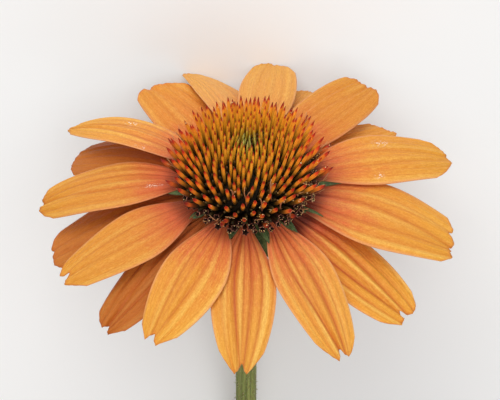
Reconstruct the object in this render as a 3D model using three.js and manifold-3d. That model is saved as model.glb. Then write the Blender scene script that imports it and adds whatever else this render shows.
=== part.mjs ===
// A cut flowering stem of an orange coneflower, lying on a flat surface with its head propped up.
// Millimetres, +Z up. The surface is z = 0 and the origin is under the middle of the whole stem.
//
// The head is drawn in its own frame: x and y span the flower's disc, and z is the flower's axis,
// with 0 at the rim of the receptacle. Azimuths are measured from x towards y. The head leans back
// on its stem, so that its lowest petal tips rest on the surface and the open face looks up.

import * as THREE from 'three';
import { mergeVertices } from 'three/addons/utils/BufferGeometryUtils.js';
import Module from 'manifold-3d';

const wasm = await Module();
wasm.setup();

const RAD = Math.PI / 180;
const GAP = 0.3; // clearance between two pieces that grow against each other

// ---- Driving dimensions ----

const HEAD_ELEVATION = 30; // degrees that the flower's axis points above the surface
const HEAD_AT = { x: 2.9, y: -89.4, z: 45.75 }; // where the middle of the receptacle's rim stands

const RIM_RADIUS = 12.2; // receptacle, where the petals grow
const RECEPTACLE_DEPTH = 8; // from the rim down to the stem
const ROUND_SIDES = 18; // facets around the receptacle and the floret rings
const DOME_RADIUS = 13.2;
const DOME_CENTRE = 5;
const DOME_HEIGHT = 9.6; // above the dome's centre
const DOME_EDGE = 104; // degrees from its top to where it meets the rim
const DOME_STEPS = 8;

const BAND_THICKNESS = 0.8; // the ring of floret bases that a row of spines grows from
const SPINE_RADIUS = 0.7;
const SPINE_SIDES = 4;
const SPINE_SPACING = 4.4; // between tips, around a row
const CONE_RADIUS = 20.8; // spine tips at the widest row
const CONE_CENTRE = 9;
const CONE_HEIGHT = 10.5; // from the cone's centre to the topmost tip
const CONE_TAPER = 0.6; // how fast it narrows below the widest row
const LOWEST_ROW = -20; // degrees from the widest row
const ROOT_CROWDING = 1.7; // spine roots crowd towards the dome's edge, as their tips fan out

// Each ring of florets spans a band of the dome, in degrees from its top, and carries rows of
// spines whose tips lie at these angles above the cone's widest row.
const FLORET_RINGS = [
  { band: [0, 25], rows: [90, 77] },
  { band: [26.5, 48], rows: [68, 60] },
  { band: [49.5, 68.5], rows: [51, 42] },
  { band: [70, 92], rows: [32, 22, 12] },
  { band: [96.5, DOME_EDGE], rows: [-8, -18] },
];

const PETAL_THICKNESS = 0.6;
const PETAL_STEPS = [8, 4]; // facets along and across
const PETAL_ROOT = RIM_RADIUS + GAP; // distance of a petal's base from the flower's axis
const PETAL_SHAPE = {
  tier: 'upper', sweep: 0, bank: 0, lift: 0, claw: 0.28, widest: 0.46, tip: 0.3, point: 0.7,
  round: 0.1, notch: 0.04, notchWidth: 0.3, cup: 0.12,
};
const TIER_HEIGHT = { upper: 1, lower: -0.1 };

// Azimuth, rise, fall, sweep and bank in degrees: rise and fall are the petal's slope at its base
// and its tip, sweep turns its tip sideways, and bank rolls it about its own length.
const PETALS = [
  { azimuth: 15, length: 42.5, width: 16, rise: 12, fall: -28 },
  { azimuth: 32, length: 36, width: 15, rise: -4, fall: -18, tier: 'lower' },
  { azimuth: 51, length: 38.5, width: 15.4, rise: 8, fall: -14, sweep: -3, tip: 0.5 },
  { azimuth: 69, length: 38.5, width: 14, rise: -12, fall: -29, tier: 'lower' },
  { azimuth: 82, length: 39.5, width: 15.5, rise: 2, fall: -22, sweep: -1, tip: 0.5, widest: 0.6,
    lift: 0.3 },
  { azimuth: 97, length: 40.5, width: 12.5, rise: 2, fall: -32, sweep: 31, bank: 20, tip: 0.1,
    lift: -0.5 },
  { azimuth: 121, length: 36, width: 15, rise: 0, fall: -14, sweep: 4, tip: 0.4, tier: 'lower',
    lift: -0.6 },
  { azimuth: 146, length: 42, width: 14, rise: 18, fall: -36, sweep: 12, bank: 14, tip: 0.1,
    lift: -0.2 },
  { azimuth: 159, length: 36.5, width: 15, rise: 3, fall: -30, sweep: 6, tier: 'lower',
    lift: -0.2 },
  { azimuth: 176, length: 40, width: 17, rise: 6, fall: -28, sweep: 14, bank: 4, widest: 0.55 },
  { azimuth: 194, length: 39.5, width: 14, rise: -12, fall: -20, sweep: 6, tier: 'lower' },
  { azimuth: 208, length: 40, width: 15.2, rise: -2, fall: -16, sweep: 6 },
  { azimuth: 227, length: 39, width: 15, rise: -12, fall: -18, sweep: 2, tier: 'lower' },
  { azimuth: 245, length: 37.5, width: 15.6, rise: -4, fall: -18, sweep: -5 },
  { azimuth: 269, length: 40, width: 15.5, rise: -6, fall: -16, sweep: -1, tip: 0.12,
    tier: 'lower' },
  { azimuth: 297, length: 41, width: 15.6, rise: -4, fall: -18, sweep: -5 },
  { azimuth: 318, length: 41, width: 15.5, rise: -11, fall: -20, sweep: 3, tier: 'lower' },
  { azimuth: 343, length: 41, width: 19.5, rise: 6, fall: -24, sweep: 3, widest: 0.5,
    lift: -0.2 },
];

const BRACT_THICKNESS = 0.5;
const BRACT_STEPS = [3, 2];
const BRACT_SHAPE = {
  sweep: 0, bank: 0, claw: 0.9, widest: 0.2, tip: 0.1, point: 1, round: 0, notch: 0,
  notchWidth: 1, cup: 0.2,
};
const INNER_BRACTS = { count: 13, turn: 9, root: PETAL_ROOT, height: -1.4, length: 7.5,
  width: 2.6, rise: -16, fall: -20 };
const OUTER_BRACTS = { count: 9, turn: 20, root: 10, height: -3.8, length: 8.5, width: 3.6,
  rise: -18, fall: -50 };

const STEM_RADIUS = 2.9; // to the middle of a facet, on which the stem lies
const STEM_SIDES = 12;
const STEM_STEPS = 24;
const STEM_LENGTH = 200; // along its bend

const LEAF_THICKNESS = 0.8;
const LEAF_STEPS = [12, 4];
const LEAF_SHAPE = {
  claw: 0.1, widest: 0.42, tip: 0.05, point: 0.85, round: 0, notch: 0, notchWidth: 1, cup: 0.16,
  bank: 0,
};
// `along` is the distance down the stem from the head. The heading is the way that the leaf sets
// off, from x towards y, and the foot is how far its end stands from the stem's own middle line.
const LEAVES = [
  { along: 104, length: 34, width: 9, heading: -58, sweep: 34, rise: 1, fall: -22, foot: 3.6 },
  { along: 132, length: 86, width: 24, heading: -128, sweep: -40, rise: 13, fall: -17, foot: 4.2 },
  { along: 166, length: 78, width: 22, heading: -50, sweep: 38, rise: 14, fall: -17.5, foot: 4.1 },
];

// ---- Finishes ----

const finish = (color, roughness) =>
  new THREE.MeshStandardMaterial({ color, roughness, metalness: 0 });
const PETAL_ORANGE = finish(0xe58a35, 0.55);
const PETAL_SHADE = finish(0xc8682a, 0.6);
const SPINE_ORANGE = finish(0xd9731c, 0.5);
const RECEPTACLE_GREEN = finish(0x4b5a26, 0.7);
const BRACT_GREEN = finish(0x39491f, 0.7);
const STEM_GREEN = finish(0x6b7a33, 0.65);
const LEAF_GREEN = finish(0x3f5a2a, 0.6);

// ---- Geometry ----

// The integral from 0 to s of wave(start + change * t), with wave either Math.sin or Math.cos.
function swept(wave, start, change, s) {
  const half = change * s / 2;
  const spread = half === 0 ? 1 : Math.sin(half) / half;
  return s * wave(start + half) * spread;
}

// The middle line of a blade, at s from 0 at its base to 1 at its tip. Its slope goes evenly from
// rise to fall and its heading turns evenly by sweep, so the line has a closed form.
function bladeFrame(blade, s) {
  const slope = blade.rise * RAD;
  const slopeChange = (blade.fall - blade.rise) * RAD;
  const heading = blade.heading * RAD;
  const headingChange = blade.sweep * RAD;
  const sum = [slope + heading, slopeChange + headingChange];
  const difference = [slope - heading, slopeChange - headingChange];
  const offset = new THREE.Vector3(
    (swept(Math.cos, ...difference, s) + swept(Math.cos, ...sum, s)) / 2,
    (swept(Math.sin, ...sum, s) - swept(Math.sin, ...difference, s)) / 2,
    swept(Math.sin, slope, slopeChange, s),
  );
  const slopeHere = slope + slopeChange * s;
  const headingHere = heading + headingChange * s;
  const along = new THREE.Vector3(
    Math.cos(slopeHere) * Math.cos(headingHere),
    Math.cos(slopeHere) * Math.sin(headingHere),
    Math.sin(slopeHere),
  );
  const across = new THREE.Vector3(-Math.sin(headingHere), Math.cos(headingHere), 0);
  across.applyAxisAngle(along, blade.bank * RAD);
  const normal = new THREE.Vector3().crossVectors(along, across);
  return { centre: offset.multiplyScalar(blade.length).add(blade.start), across, normal };
}

// Half the blade's width at s, as a share of its full half width.
function halfWidth({ claw, widest, tip, point }, s) {
  if (s < widest) {
    return claw + (1 - claw) * Math.sin(Math.PI / 2 * s / widest);
  }
  const beyond = Math.min(1, (s - widest) / (1 - widest));
  return tip + (1 - tip) * Math.max(0, Math.cos(Math.PI / 2 * beyond)) ** point;
}

// A petal, bract or leaf: a thin box, bent along the blade's middle line and cut to its outline.
function bladeGeometry(blade, thickness, [stepsAlong, stepsAcross]) {
  const geometry = new THREE.BoxGeometry(1, 2, 1, stepsAlong, stepsAcross, 1);
  const points = geometry.attributes.position;
  const point = new THREE.Vector3();
  for (let i = 0; i < points.count; i += 1) {
    point.fromBufferAttribute(points, i);
    const side = point.y;
    const notch = blade.notch * Math.exp(-((side / blade.notchWidth) ** 2));
    const s = (point.x + 0.5) * (1 - blade.round * Math.abs(side) ** 1.8 - notch);
    const { centre, across, normal } = bladeFrame(blade, s);
    const droop = blade.cup * blade.width / 2 * side ** 2 * Math.sin(Math.PI * s) ** 0.7;
    centre.addScaledVector(across, side * blade.width / 2 * halfWidth(blade, s));
    centre.addScaledVector(normal, point.z * thickness - droop);
    points.setXYZ(i, centre.x, centre.y, centre.z);
  }
  return geometry;
}

// A solid of revolution about z, from [radius, height] points that run from low to high.
function turnedGeometry(profile) {
  const outline = profile.map(([radius, height]) => new THREE.Vector2(radius, height));
  return new THREE.LatheGeometry(outline, ROUND_SIDES).rotateX(Math.PI / 2);
}

// A closed geometry as a manifold solid, with shared vertices and no collapsed triangles.
function toSolid(geometry) {
  const bare = geometry.clone();
  bare.deleteAttribute('normal');
  bare.deleteAttribute('uv');
  const merged = mergeVertices(bare, 1e-4);
  const corners = [];
  for (let i = 0; i < merged.index.count; i += 3) {
    const [a, b, c] = [merged.index.getX(i), merged.index.getX(i + 1), merged.index.getX(i + 2)];
    if (a !== b && b !== c && c !== a) {
      corners.push(a, b, c);
    }
  }
  return new wasm.Manifold(new wasm.Mesh({
    numProp: 3,
    vertProperties: new Float32Array(merged.attributes.position.array),
    triVerts: new Uint32Array(corners),
  }));
}

function toGeometry(solid) {
  const { vertProperties, triVerts } = solid.getMesh();
  const geometry = new THREE.BufferGeometry();
  geometry.setAttribute('position', new THREE.BufferAttribute(vertProperties, 3));
  geometry.setIndex(new THREE.BufferAttribute(triVerts, 1));
  geometry.computeVertexNormals();
  return geometry;
}

function piece(name, geometry, material) {
  const mesh = new THREE.Mesh(geometry, material);
  mesh.name = name;
  return mesh;
}

// ---- The head ----

// A point of the dome, pushed out by `offset`, at `angle` degrees from its top.
function domePoint(angle, offset) {
  return [
    (DOME_RADIUS + offset) * Math.sin(angle * RAD),
    DOME_CENTRE + (DOME_HEIGHT + offset) * Math.cos(angle * RAD),
  ];
}

function receptacle() {
  const profile = [[0, -RECEPTACLE_DEPTH], [3.3, -RECEPTACLE_DEPTH], [4.3, -6.4], [6.6, -4.5],
    [9.6, -3.1], [RIM_RADIUS, -1.9], [RIM_RADIUS, 1.9]];
  for (let step = 0; step <= DOME_STEPS; step += 1) {
    profile.push(domePoint(DOME_EDGE * (1 - step / DOME_STEPS), 0));
  }
  return piece('receptacle', turnedGeometry(profile), RECEPTACLE_GREEN);
}

// The band of floret bases between two angles of the dome, `GAP` clear of it.
function floretBand([top, bottom]) {
  const steps = 2;
  const outer = [];
  const inner = [];
  for (let step = 0; step <= steps; step += 1) {
    const angle = bottom + (top - bottom) * step / steps;
    outer.push(domePoint(angle, GAP + BAND_THICKNESS));
    inner.unshift(domePoint(angle, GAP));
  }
  const profile = top === 0 ? [...inner, ...outer] : [...outer, ...inner, outer[0]];
  return turnedGeometry(profile);
}

// One spine, from the middle of its band out to its tip on the cone.
function spineGeometry(row, azimuth) {
  const share = (row - LOWEST_ROW) / (90 - LOWEST_ROW);
  const rootAngle = DOME_EDGE * (1 - share ** ROOT_CROWDING);
  const [rootRadius, rootHeight] = domePoint(rootAngle, GAP + BAND_THICKNESS / 2);
  const spread = row < 0 ? Math.cos(row * RAD) ** CONE_TAPER : Math.cos(row * RAD);
  const turnTo = (radius, height) =>
    new THREE.Vector3(radius * Math.cos(azimuth), radius * Math.sin(azimuth), height);
  const root = turnTo(rootRadius, rootHeight);
  const tip = turnTo(CONE_RADIUS * spread, CONE_CENTRE + CONE_HEIGHT * Math.sin(row * RAD));
  const direction = tip.clone().sub(root);
  const spine = new THREE.ConeGeometry(SPINE_RADIUS, direction.length(), SPINE_SIDES);
  spine.translate(0, direction.length() / 2, 0);
  const up = new THREE.Vector3(0, 1, 0);
  spine.applyQuaternion(new THREE.Quaternion().setFromUnitVectors(up, direction.normalize()));
  return spine.translate(root.x, root.y, root.z);
}

function floretRing({ band, rows }, index) {
  let ring = toSolid(floretBand(band));
  rows.forEach((row, rowIndex) => {
    const around = 2 * Math.PI * CONE_RADIUS * Math.cos(row * RAD);
    const count = Math.max(1, Math.round(around / SPINE_SPACING));
    for (let spine = 0; spine < count; spine += 1) {
      const azimuth = 2 * Math.PI * (spine + rowIndex / 2) / count;
      ring = ring.add(toSolid(spineGeometry(row, azimuth)));
    }
  });
  return piece(`floret_ring_${index + 1}`, toGeometry(ring), SPINE_ORANGE);
}

function petal(entry, name) {
  const shape = { ...PETAL_SHAPE, ...entry };
  const azimuth = shape.azimuth * RAD;
  const start = new THREE.Vector3(
    PETAL_ROOT * Math.cos(azimuth),
    PETAL_ROOT * Math.sin(azimuth),
    TIER_HEIGHT[shape.tier] + shape.lift,
  );
  const blade = { ...shape, heading: shape.azimuth, start };
  const material = shape.tier === 'upper' ? PETAL_ORANGE : PETAL_SHADE;
  return piece(name, bladeGeometry(blade, PETAL_THICKNESS, PETAL_STEPS), material);
}

function petals() {
  const made = { upper: 0, lower: 0 };
  return PETALS.map((entry) => {
    const tier = entry.tier ?? PETAL_SHAPE.tier;
    made[tier] += 1;
    return petal(entry, `petal_${tier}_${made[tier]}`);
  });
}

function bracts(name, { count, turn, root, height, ...size }) {
  return Array.from({ length: count }, (_, index) => {
    const heading = turn + 360 * index / count;
    const start = new THREE.Vector3(
      root * Math.cos(heading * RAD),
      root * Math.sin(heading * RAD),
      height,
    );
    const geometry = bladeGeometry(
      { ...BRACT_SHAPE, ...size, heading, start },
      BRACT_THICKNESS,
      BRACT_STEPS,
    );
    return piece(`${name}_${index + 1}`, geometry, BRACT_GREEN);
  });
}

function head() {
  const group = new THREE.Group();
  group.add(receptacle());
  group.add(...FLORET_RINGS.map(floretRing));
  group.add(...petals());
  group.add(...bracts('bract_inner', INNER_BRACTS));
  group.add(...bracts('bract_outer', OUTER_BRACTS));
  group.rotation.set((90 - HEAD_ELEVATION) * RAD, 0, Math.PI);
  group.position.set(HEAD_AT.x, HEAD_AT.y, HEAD_AT.z);
  return group;
}

// ---- The stem and its leaves ----

// The stem leaves the head down the flower's axis, bends evenly until it is level, and then lies
// on the surface.
class StemCurve extends THREE.Curve {
  constructor() {
    super();
    const lean = HEAD_ELEVATION * RAD;
    const reach = RECEPTACLE_DEPTH + GAP;
    this.start = new THREE.Vector3(
      HEAD_AT.x,
      HEAD_AT.y + reach * Math.cos(lean),
      HEAD_AT.z - reach * Math.sin(lean),
    );
    this.bendRadius = (this.start.z - STEM_RADIUS) / (1 - Math.cos(lean));
    this.bendLength = this.bendRadius * lean;
  }

  // The point at a distance along the stem from the head.
  at(distance) {
    const lean = HEAD_ELEVATION * RAD;
    const bent = Math.min(distance, this.bendLength);
    const slope = lean - bent / this.bendRadius;
    return new THREE.Vector3(
      this.start.x,
      this.start.y + this.bendRadius * (Math.sin(lean) - Math.sin(slope)) + distance - bent,
      this.start.z - this.bendRadius * (Math.cos(slope) - Math.cos(lean)),
    );
  }

  getPoint(t) {
    return this.at(t * STEM_LENGTH);
  }
}

function stem(curve) {
  const section = new THREE.Shape();
  const corner = STEM_RADIUS / Math.cos(Math.PI / STEM_SIDES);
  for (let side = 0; side < STEM_SIDES; side += 1) {
    const angle = 2 * Math.PI * (side + 0.5) / STEM_SIDES;
    const method = side === 0 ? 'moveTo' : 'lineTo';
    section[method](corner * Math.cos(angle), corner * Math.sin(angle));
  }
  section.closePath();
  const geometry = new THREE.ExtrudeGeometry(section, { steps: STEM_STEPS, extrudePath: curve });
  return piece('stem', geometry, STEM_GREEN);
}

function leaf(curve, { along, foot, ...entry }, index) {
  const heading = entry.heading * RAD;
  const start = curve.at(along);
  start.x += foot * Math.sign(Math.cos(heading));
  const blade = { ...LEAF_SHAPE, ...entry, start };
  return piece(`leaf_${index + 1}`, bladeGeometry(blade, LEAF_THICKNESS, LEAF_STEPS), LEAF_GREEN);
}

const flower = new THREE.Group();
const stemCurve = new StemCurve();
flower.add(head());
flower.add(stem(stemCurve));
flower.add(...LEAVES.map((entry, index) => leaf(stemCurve, entry, index)));

export default flower;
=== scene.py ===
"""A cut flowering stem of an orange coneflower, dressed for a plain studio.

Shapes are worked out in millimetres as whole numpy grids and go into the meshes in metres. The head
has a frame of its own: u and v span the flower's disc and w is the flower's axis, with 0 at the
receptacle's rim, and azimuths go from u towards v. HeadFrame turns it into the part's frame.
"""

from __future__ import annotations

import logging
import math
from collections import Counter
from collections.abc import Callable, Sequence
from dataclasses import dataclass, field
from enum import Enum

import bpy
import numpy as np
import numpy.typing as npt
from mathutils import Matrix, Vector


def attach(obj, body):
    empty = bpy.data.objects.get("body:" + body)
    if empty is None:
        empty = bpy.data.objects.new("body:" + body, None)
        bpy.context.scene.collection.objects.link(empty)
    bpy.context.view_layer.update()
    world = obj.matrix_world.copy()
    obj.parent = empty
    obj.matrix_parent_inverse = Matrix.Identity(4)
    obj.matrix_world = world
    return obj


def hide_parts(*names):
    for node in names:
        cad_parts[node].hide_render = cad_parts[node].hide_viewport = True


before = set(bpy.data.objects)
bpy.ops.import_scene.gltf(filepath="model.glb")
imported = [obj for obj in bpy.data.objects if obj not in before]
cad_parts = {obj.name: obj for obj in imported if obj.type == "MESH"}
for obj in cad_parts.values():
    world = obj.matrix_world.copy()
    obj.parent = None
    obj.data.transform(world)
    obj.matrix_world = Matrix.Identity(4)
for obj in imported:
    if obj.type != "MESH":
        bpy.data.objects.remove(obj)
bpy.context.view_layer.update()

Array = npt.NDArray[np.float64]
Faces = npt.NDArray[np.int64]
Colour = tuple[float, float, float, float]
Pair = tuple[float, float]
Point = tuple[float, float, float]
Edge = tuple[Pair, ...]
Stops = tuple[tuple[float, Colour], ...]
Material = bpy.types.Material
Node = bpy.types.Node
NodeTree = bpy.types.NodeTree
Piece = bpy.types.Object
Socket = bpy.types.NodeSocket
Source = Socket | float | Colour

MM = 0.001
GOLDEN_ANGLE = math.pi * (3 - math.sqrt(5))
HEXAGON = 0.866  # the area of a hexagon whose opposite sides are 1 apart
BLADE_UV = "Blade"
FULL: Pair = (0.0, 1.0)
NOISE: Pair = (0.3, 0.7)  # the range that most of a smooth noise lies in
MIX_INPUTS, MIX_RESULT = (0, 6, 7), 2  # a Mix node's sockets for colours
SPECK_EDGE = 12.0  # how sharply a speck ends
LOG = logging.getLogger("coneflower")


class Slot(Enum):
    """The record's material slots."""

    PETAL = "petal"
    FLORET = "floret"
    RECEPTACLE = "receptacle"
    BRACT = "bract"
    STEM = "stem"
    LEAF = "leaf"


class Tier(Enum):
    """The two rows of petals, by the height of their bases above the receptacle's rim."""

    UPPER = 1.0
    LOWER = -0.1


def srgb(red: int, green: int, blue: int) -> Colour:
    """Turns a display colour into a linear one.

    Args:
        red: Red from 0 to 255.
        green: Green from 0 to 255.
        blue: Blue from 0 to 255.

    Returns:
        The linear colour, opaque.
    """
    share = np.array([red, green, blue]) / 255
    linear = np.where(share <= 0.04045, share / 12.92, ((share + 0.055) / 1.055) ** 2.4)
    return (*(float(value) for value in linear), 1.0)


def ease(values: Array) -> Array:
    """Cuts values to the range 0 to 1 and rounds off the two ends: 3t^2 - 2t^3."""
    t = np.clip(values, 0, 1)
    return t * t * (3 - 2 * t)


def fade(values: Array, start: float, end: float) -> Array:
    """Goes smoothly from 0 where the values are `start` to 1 where they are `end`."""
    return ease((values - start) / (end - start))


def bell(distance: Array) -> Array:
    """The bell curve exp(-distance^2), which is 1 at 0 and close to 0 beyond 2."""
    return np.exp(-(distance**2))


def between(ends: Pair, share: Array) -> Array:
    """The value that lies a share of the way from the first end to the second."""
    return ends[0] + (ends[1] - ends[0]) * share


def half_thickness(thickness: float, s: Array, side: Array, edge: Pair, tip: Pair) -> Array:
    """Half a thickness, less a share of |side|^power and of s^power: edge and tip hold those two."""
    across, along = 1 - edge[0] * np.abs(side) ** edge[1], 1 - tip[0] * s.clip(0) ** tip[1]
    return across * along * thickness / 2


def unit(vectors: Array) -> Array:
    """Scales vectors along the last axis to length 1."""
    return vectors / np.maximum(np.linalg.norm(vectors, axis=-1, keepdims=True), 1e-12)


def level(azimuth: Array) -> Array:
    """The level direction a quarter turn on from each azimuth, in radians."""
    return np.stack([-np.sin(azimuth), np.cos(azimuth), np.zeros_like(azimuth)], -1)


def around(ahead: Array, side: Array, turn: Array) -> Array:
    """The directions at angles around lines that run ahead, counted from the lines' sides."""
    return np.cos(turn)[:, None] * side + np.sin(turn)[:, None] * np.cross(ahead, side)


def smooth_line(points: Array, samples: int) -> Array:
    """Draws a smooth line through some points.

    Between two points it is the Catmull-Rom cubic, whose slope at each point is half the step
    between that point's two neighbours.

    Args:
        points: The points to pass through, one a row.
        samples: How many points the line gets.

    Returns:
        The line's points, one a row.
    """
    padded = np.vstack([2 * points[0] - points[1], points, 2 * points[-1] - points[-2]])
    place = np.linspace(0, len(points) - 1, samples)
    first = np.minimum(place.astype(int), len(points) - 2)
    t = (place - first)[:, None]
    a, b, c, d = (padded[first + step] for step in range(4))
    return b + t / 2 * (c - a + t * (2 * a - 5 * b + 4 * c - d + t * (3 * (b - c) + d - a)))


@dataclass
class Shape:
    """A closed mesh in the making.

    Attributes:
        points: The vertices in millimetres, one a row.
        quads: Four vertex numbers a row.
        triangles: Three vertex numbers a row.
        values: Named values that each vertex carries into the material.
        uv: A flat place for each vertex, in millimetres across and along, or None.
    """

    points: Array
    quads: Faces
    triangles: Faces
    values: dict[str, Array] = field(default_factory=dict)
    uv: Array | None = None

    def mesh(self, name: str) -> bpy.types.Mesh:
        """Puts the shape into a smooth Blender mesh, in metres.

        Args:
            name: The mesh's name.

        Returns:
            The mesh.
        """
        corners = np.concatenate([self.quads.ravel(), self.triangles.ravel()]).astype(np.int32)
        sizes = np.repeat([4, 3], [len(self.quads), len(self.triangles)])
        mesh = bpy.data.meshes.new(name)
        mesh.vertices.add(len(self.points))
        mesh.vertices.foreach_set("co", (self.points * MM).astype(np.float32).ravel())
        mesh.loops.add(len(corners))
        mesh.loops.foreach_set("vertex_index", corners)
        mesh.polygons.add(len(sizes))
        starts = np.concatenate([[0], np.cumsum(sizes)[:-1]])
        mesh.polygons.foreach_set("loop_start", starts.astype(np.int32))
        mesh.polygons.foreach_set("use_smooth", np.ones(len(sizes), bool))
        for key, value in self.values.items():
            layer = mesh.attributes.new(key, "FLOAT", "POINT")
            layer.data.foreach_set("value", value.astype(np.float32).ravel())
        if self.uv is not None:
            layer = mesh.uv_layers.new(name=BLADE_UV)
            layer.data.foreach_set("uv", self.uv[corners].astype(np.float32).ravel())
        mesh.update(calc_edges=True)
        mesh.validate()
        return mesh


def add_object(name: str, data: bpy.types.ID) -> bpy.types.Object:
    """Makes an object and puts it in the scene.

    Args:
        name: Its name.
        data: The mesh, light or camera that it shows.

    Returns:
        The object.
    """
    made = bpy.data.objects.new(name, data)
    bpy.context.scene.collection.objects.link(made)
    return made


def make_piece(
    name: str, shape: Shape, material: Material, nodes: Sequence[str] = ()
) -> Piece:
    """Makes a piece that rides on the part's one body.

    Args:
        name: The piece's name.
        shape: Its closed shape.
        material: Its material.
        nodes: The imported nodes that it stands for.

    Returns:
        The piece's object.
    """
    mesh = shape.mesh(name)
    mesh.materials.append(material)
    piece = add_object(name, mesh)
    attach(piece, "root")
    if nodes:
        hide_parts(*nodes)
    return piece


def closed_sheet(top: Array, under: Array, values: dict[str, Array], uv: Array) -> Shape:
    """Closes two grids of points of one size into a thin sheet.

    Row i and column j of the top grid is vertex i * columns + j, and the under grid follows. The
    under faces run the other way round, and a strip of faces joins the two grids' outer edges.

    Args:
        top: Points of the top side, with rows along the sheet and columns across it.
        under: Points of the under side.
        values: For each name a grid of values for both sides.
        uv: A grid of flat places for both sides.

    Returns:
        The closed shape, with a value "under" that is 1 on the under side.
    """
    rows, columns = top.shape[:2]
    index = np.arange(rows * columns).reshape(rows, columns)
    quads = np.stack([index[:-1, :-1], index[1:, :-1], index[1:, 1:], index[:-1, 1:]], -1)
    quads = quads.reshape(-1, 4)
    border = np.concatenate([index[:-1, 0], index[-1, :-1], index[:0:-1, -1], index[0, :0:-1]])
    ahead = np.roll(border, -1)
    count = rows * columns
    rim = np.stack([ahead, border, border + count, ahead + count], -1)
    faces = np.vstack([quads, quads[:, ::-1] + count, rim])
    points = np.vstack([top.reshape(-1, 3), under.reshape(-1, 3)])
    carried = {key: np.tile(np.ravel(value), 2) for key, value in values.items()}
    carried["under"] = np.repeat([0.0, 1.0], count)
    return Shape(points, faces, np.zeros((0, 3), int), carried, np.tile(uv.reshape(-1, 2), (2, 1)))


def rods(
    paths: Array, radii: Array, across: Array, values: dict[str, Array], along: Array | None = None
) -> Shape:
    """Carries rings along many paths at once, and closes each rod with a point at both ends.

    Each ring's vertex is path + radius * (cos(turn) * across + sin(turn) * up), where up is along
    x across. The end points are the path's own ends.

    Args:
        paths: The rods' middle lines, as rods x rings x 3. The first and last are the end points.
        radii: The rings' radii, as rods x rings x sides. Those of the end points aren't used.
        across: For each rod a direction that isn't along it.
        values: For each name the values at the rings, as rods x rings.
        along: For each rod one direction for all its rings, or None to follow the path.

    Returns:
        All the rods as one shape.
    """
    count, rings, sides = radii.shape
    ahead = np.gradient(paths, axis=1) if along is None else np.repeat(along[:, None], rings, 1)
    ahead = unit(ahead)
    side = across[:, None] - (across[:, None] * ahead).sum(-1, keepdims=True) * ahead
    side = unit(side)
    up = np.cross(ahead, side)
    turn = 2 * np.pi * np.arange(sides) / sides
    ring = np.cos(turn)[:, None] * side[:, :, None] + np.sin(turn)[:, None] * up[:, :, None]
    inner = (paths[:, :, None] + radii[..., None] * ring)[:, 1:-1]
    body = inner.reshape(count, -1, 3)
    points = np.concatenate([body, paths[:, :1], paths[:, -1:]], axis=1)
    size = points.shape[1]
    index = np.arange((rings - 2) * sides).reshape(rings - 2, sides)
    onward = np.roll(index, -1, axis=1)
    quads = np.stack([index[:-1], onward[:-1], onward[1:], index[1:]], -1).reshape(-1, 4)
    first = np.stack([np.full(sides, size - 2), onward[0], index[0]], -1)
    last = np.stack([np.full(sides, size - 1), index[-1], onward[-1]], -1)
    triangles = np.vstack([first, last])
    shift = size * np.arange(count)[:, None, None]
    carried = {}
    for key, value in values.items():
        rung = np.repeat(value[:, 1:-1], sides, axis=1)
        carried[key] = np.concatenate([rung, value[:, :1], value[:, -1:]], axis=1).ravel()
    return Shape(
        points.reshape(-1, 3),
        (quads[None] + shift).reshape(-1, 4),
        (triangles[None] + shift).reshape(-1, 3),
        carried,
    )


@dataclass(frozen=True)
class HeadFrame:
    """The flower's own frame and how it stands in the part's frame.

    The disc is turned half round its axis, so that u runs towards -X, and it leans back until its
    axis points `elevation` degrees above the surface, towards -Y.
    """

    at: Point = (2.9, -89.4, 45.75)
    elevation: float = 30.0

    def points(self, head: Array) -> Array:
        """Turns points from the head's frame into the part's.

        X is -u, Y is -sin(elevation) v - cos(elevation) w, and Z is
        sin(elevation) w - cos(elevation) v, all counted from `at`.

        Args:
            head: Points in the head's frame.

        Returns:
            The same points in the part's frame.
        """
        sine = math.sin(math.radians(self.elevation))
        cosine = math.cos(math.radians(self.elevation))
        u, v, w = head[..., 0], head[..., 1], head[..., 2]
        turned = np.stack([-u, -sine * v - cosine * w, sine * w - cosine * v], -1)
        return turned + np.array(self.at)

    def place(self, shape: Shape) -> Shape:
        """Moves a shape from the head's frame into the part's, and gives it back."""
        shape.points = self.points(shape.points)
        return shape


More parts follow.
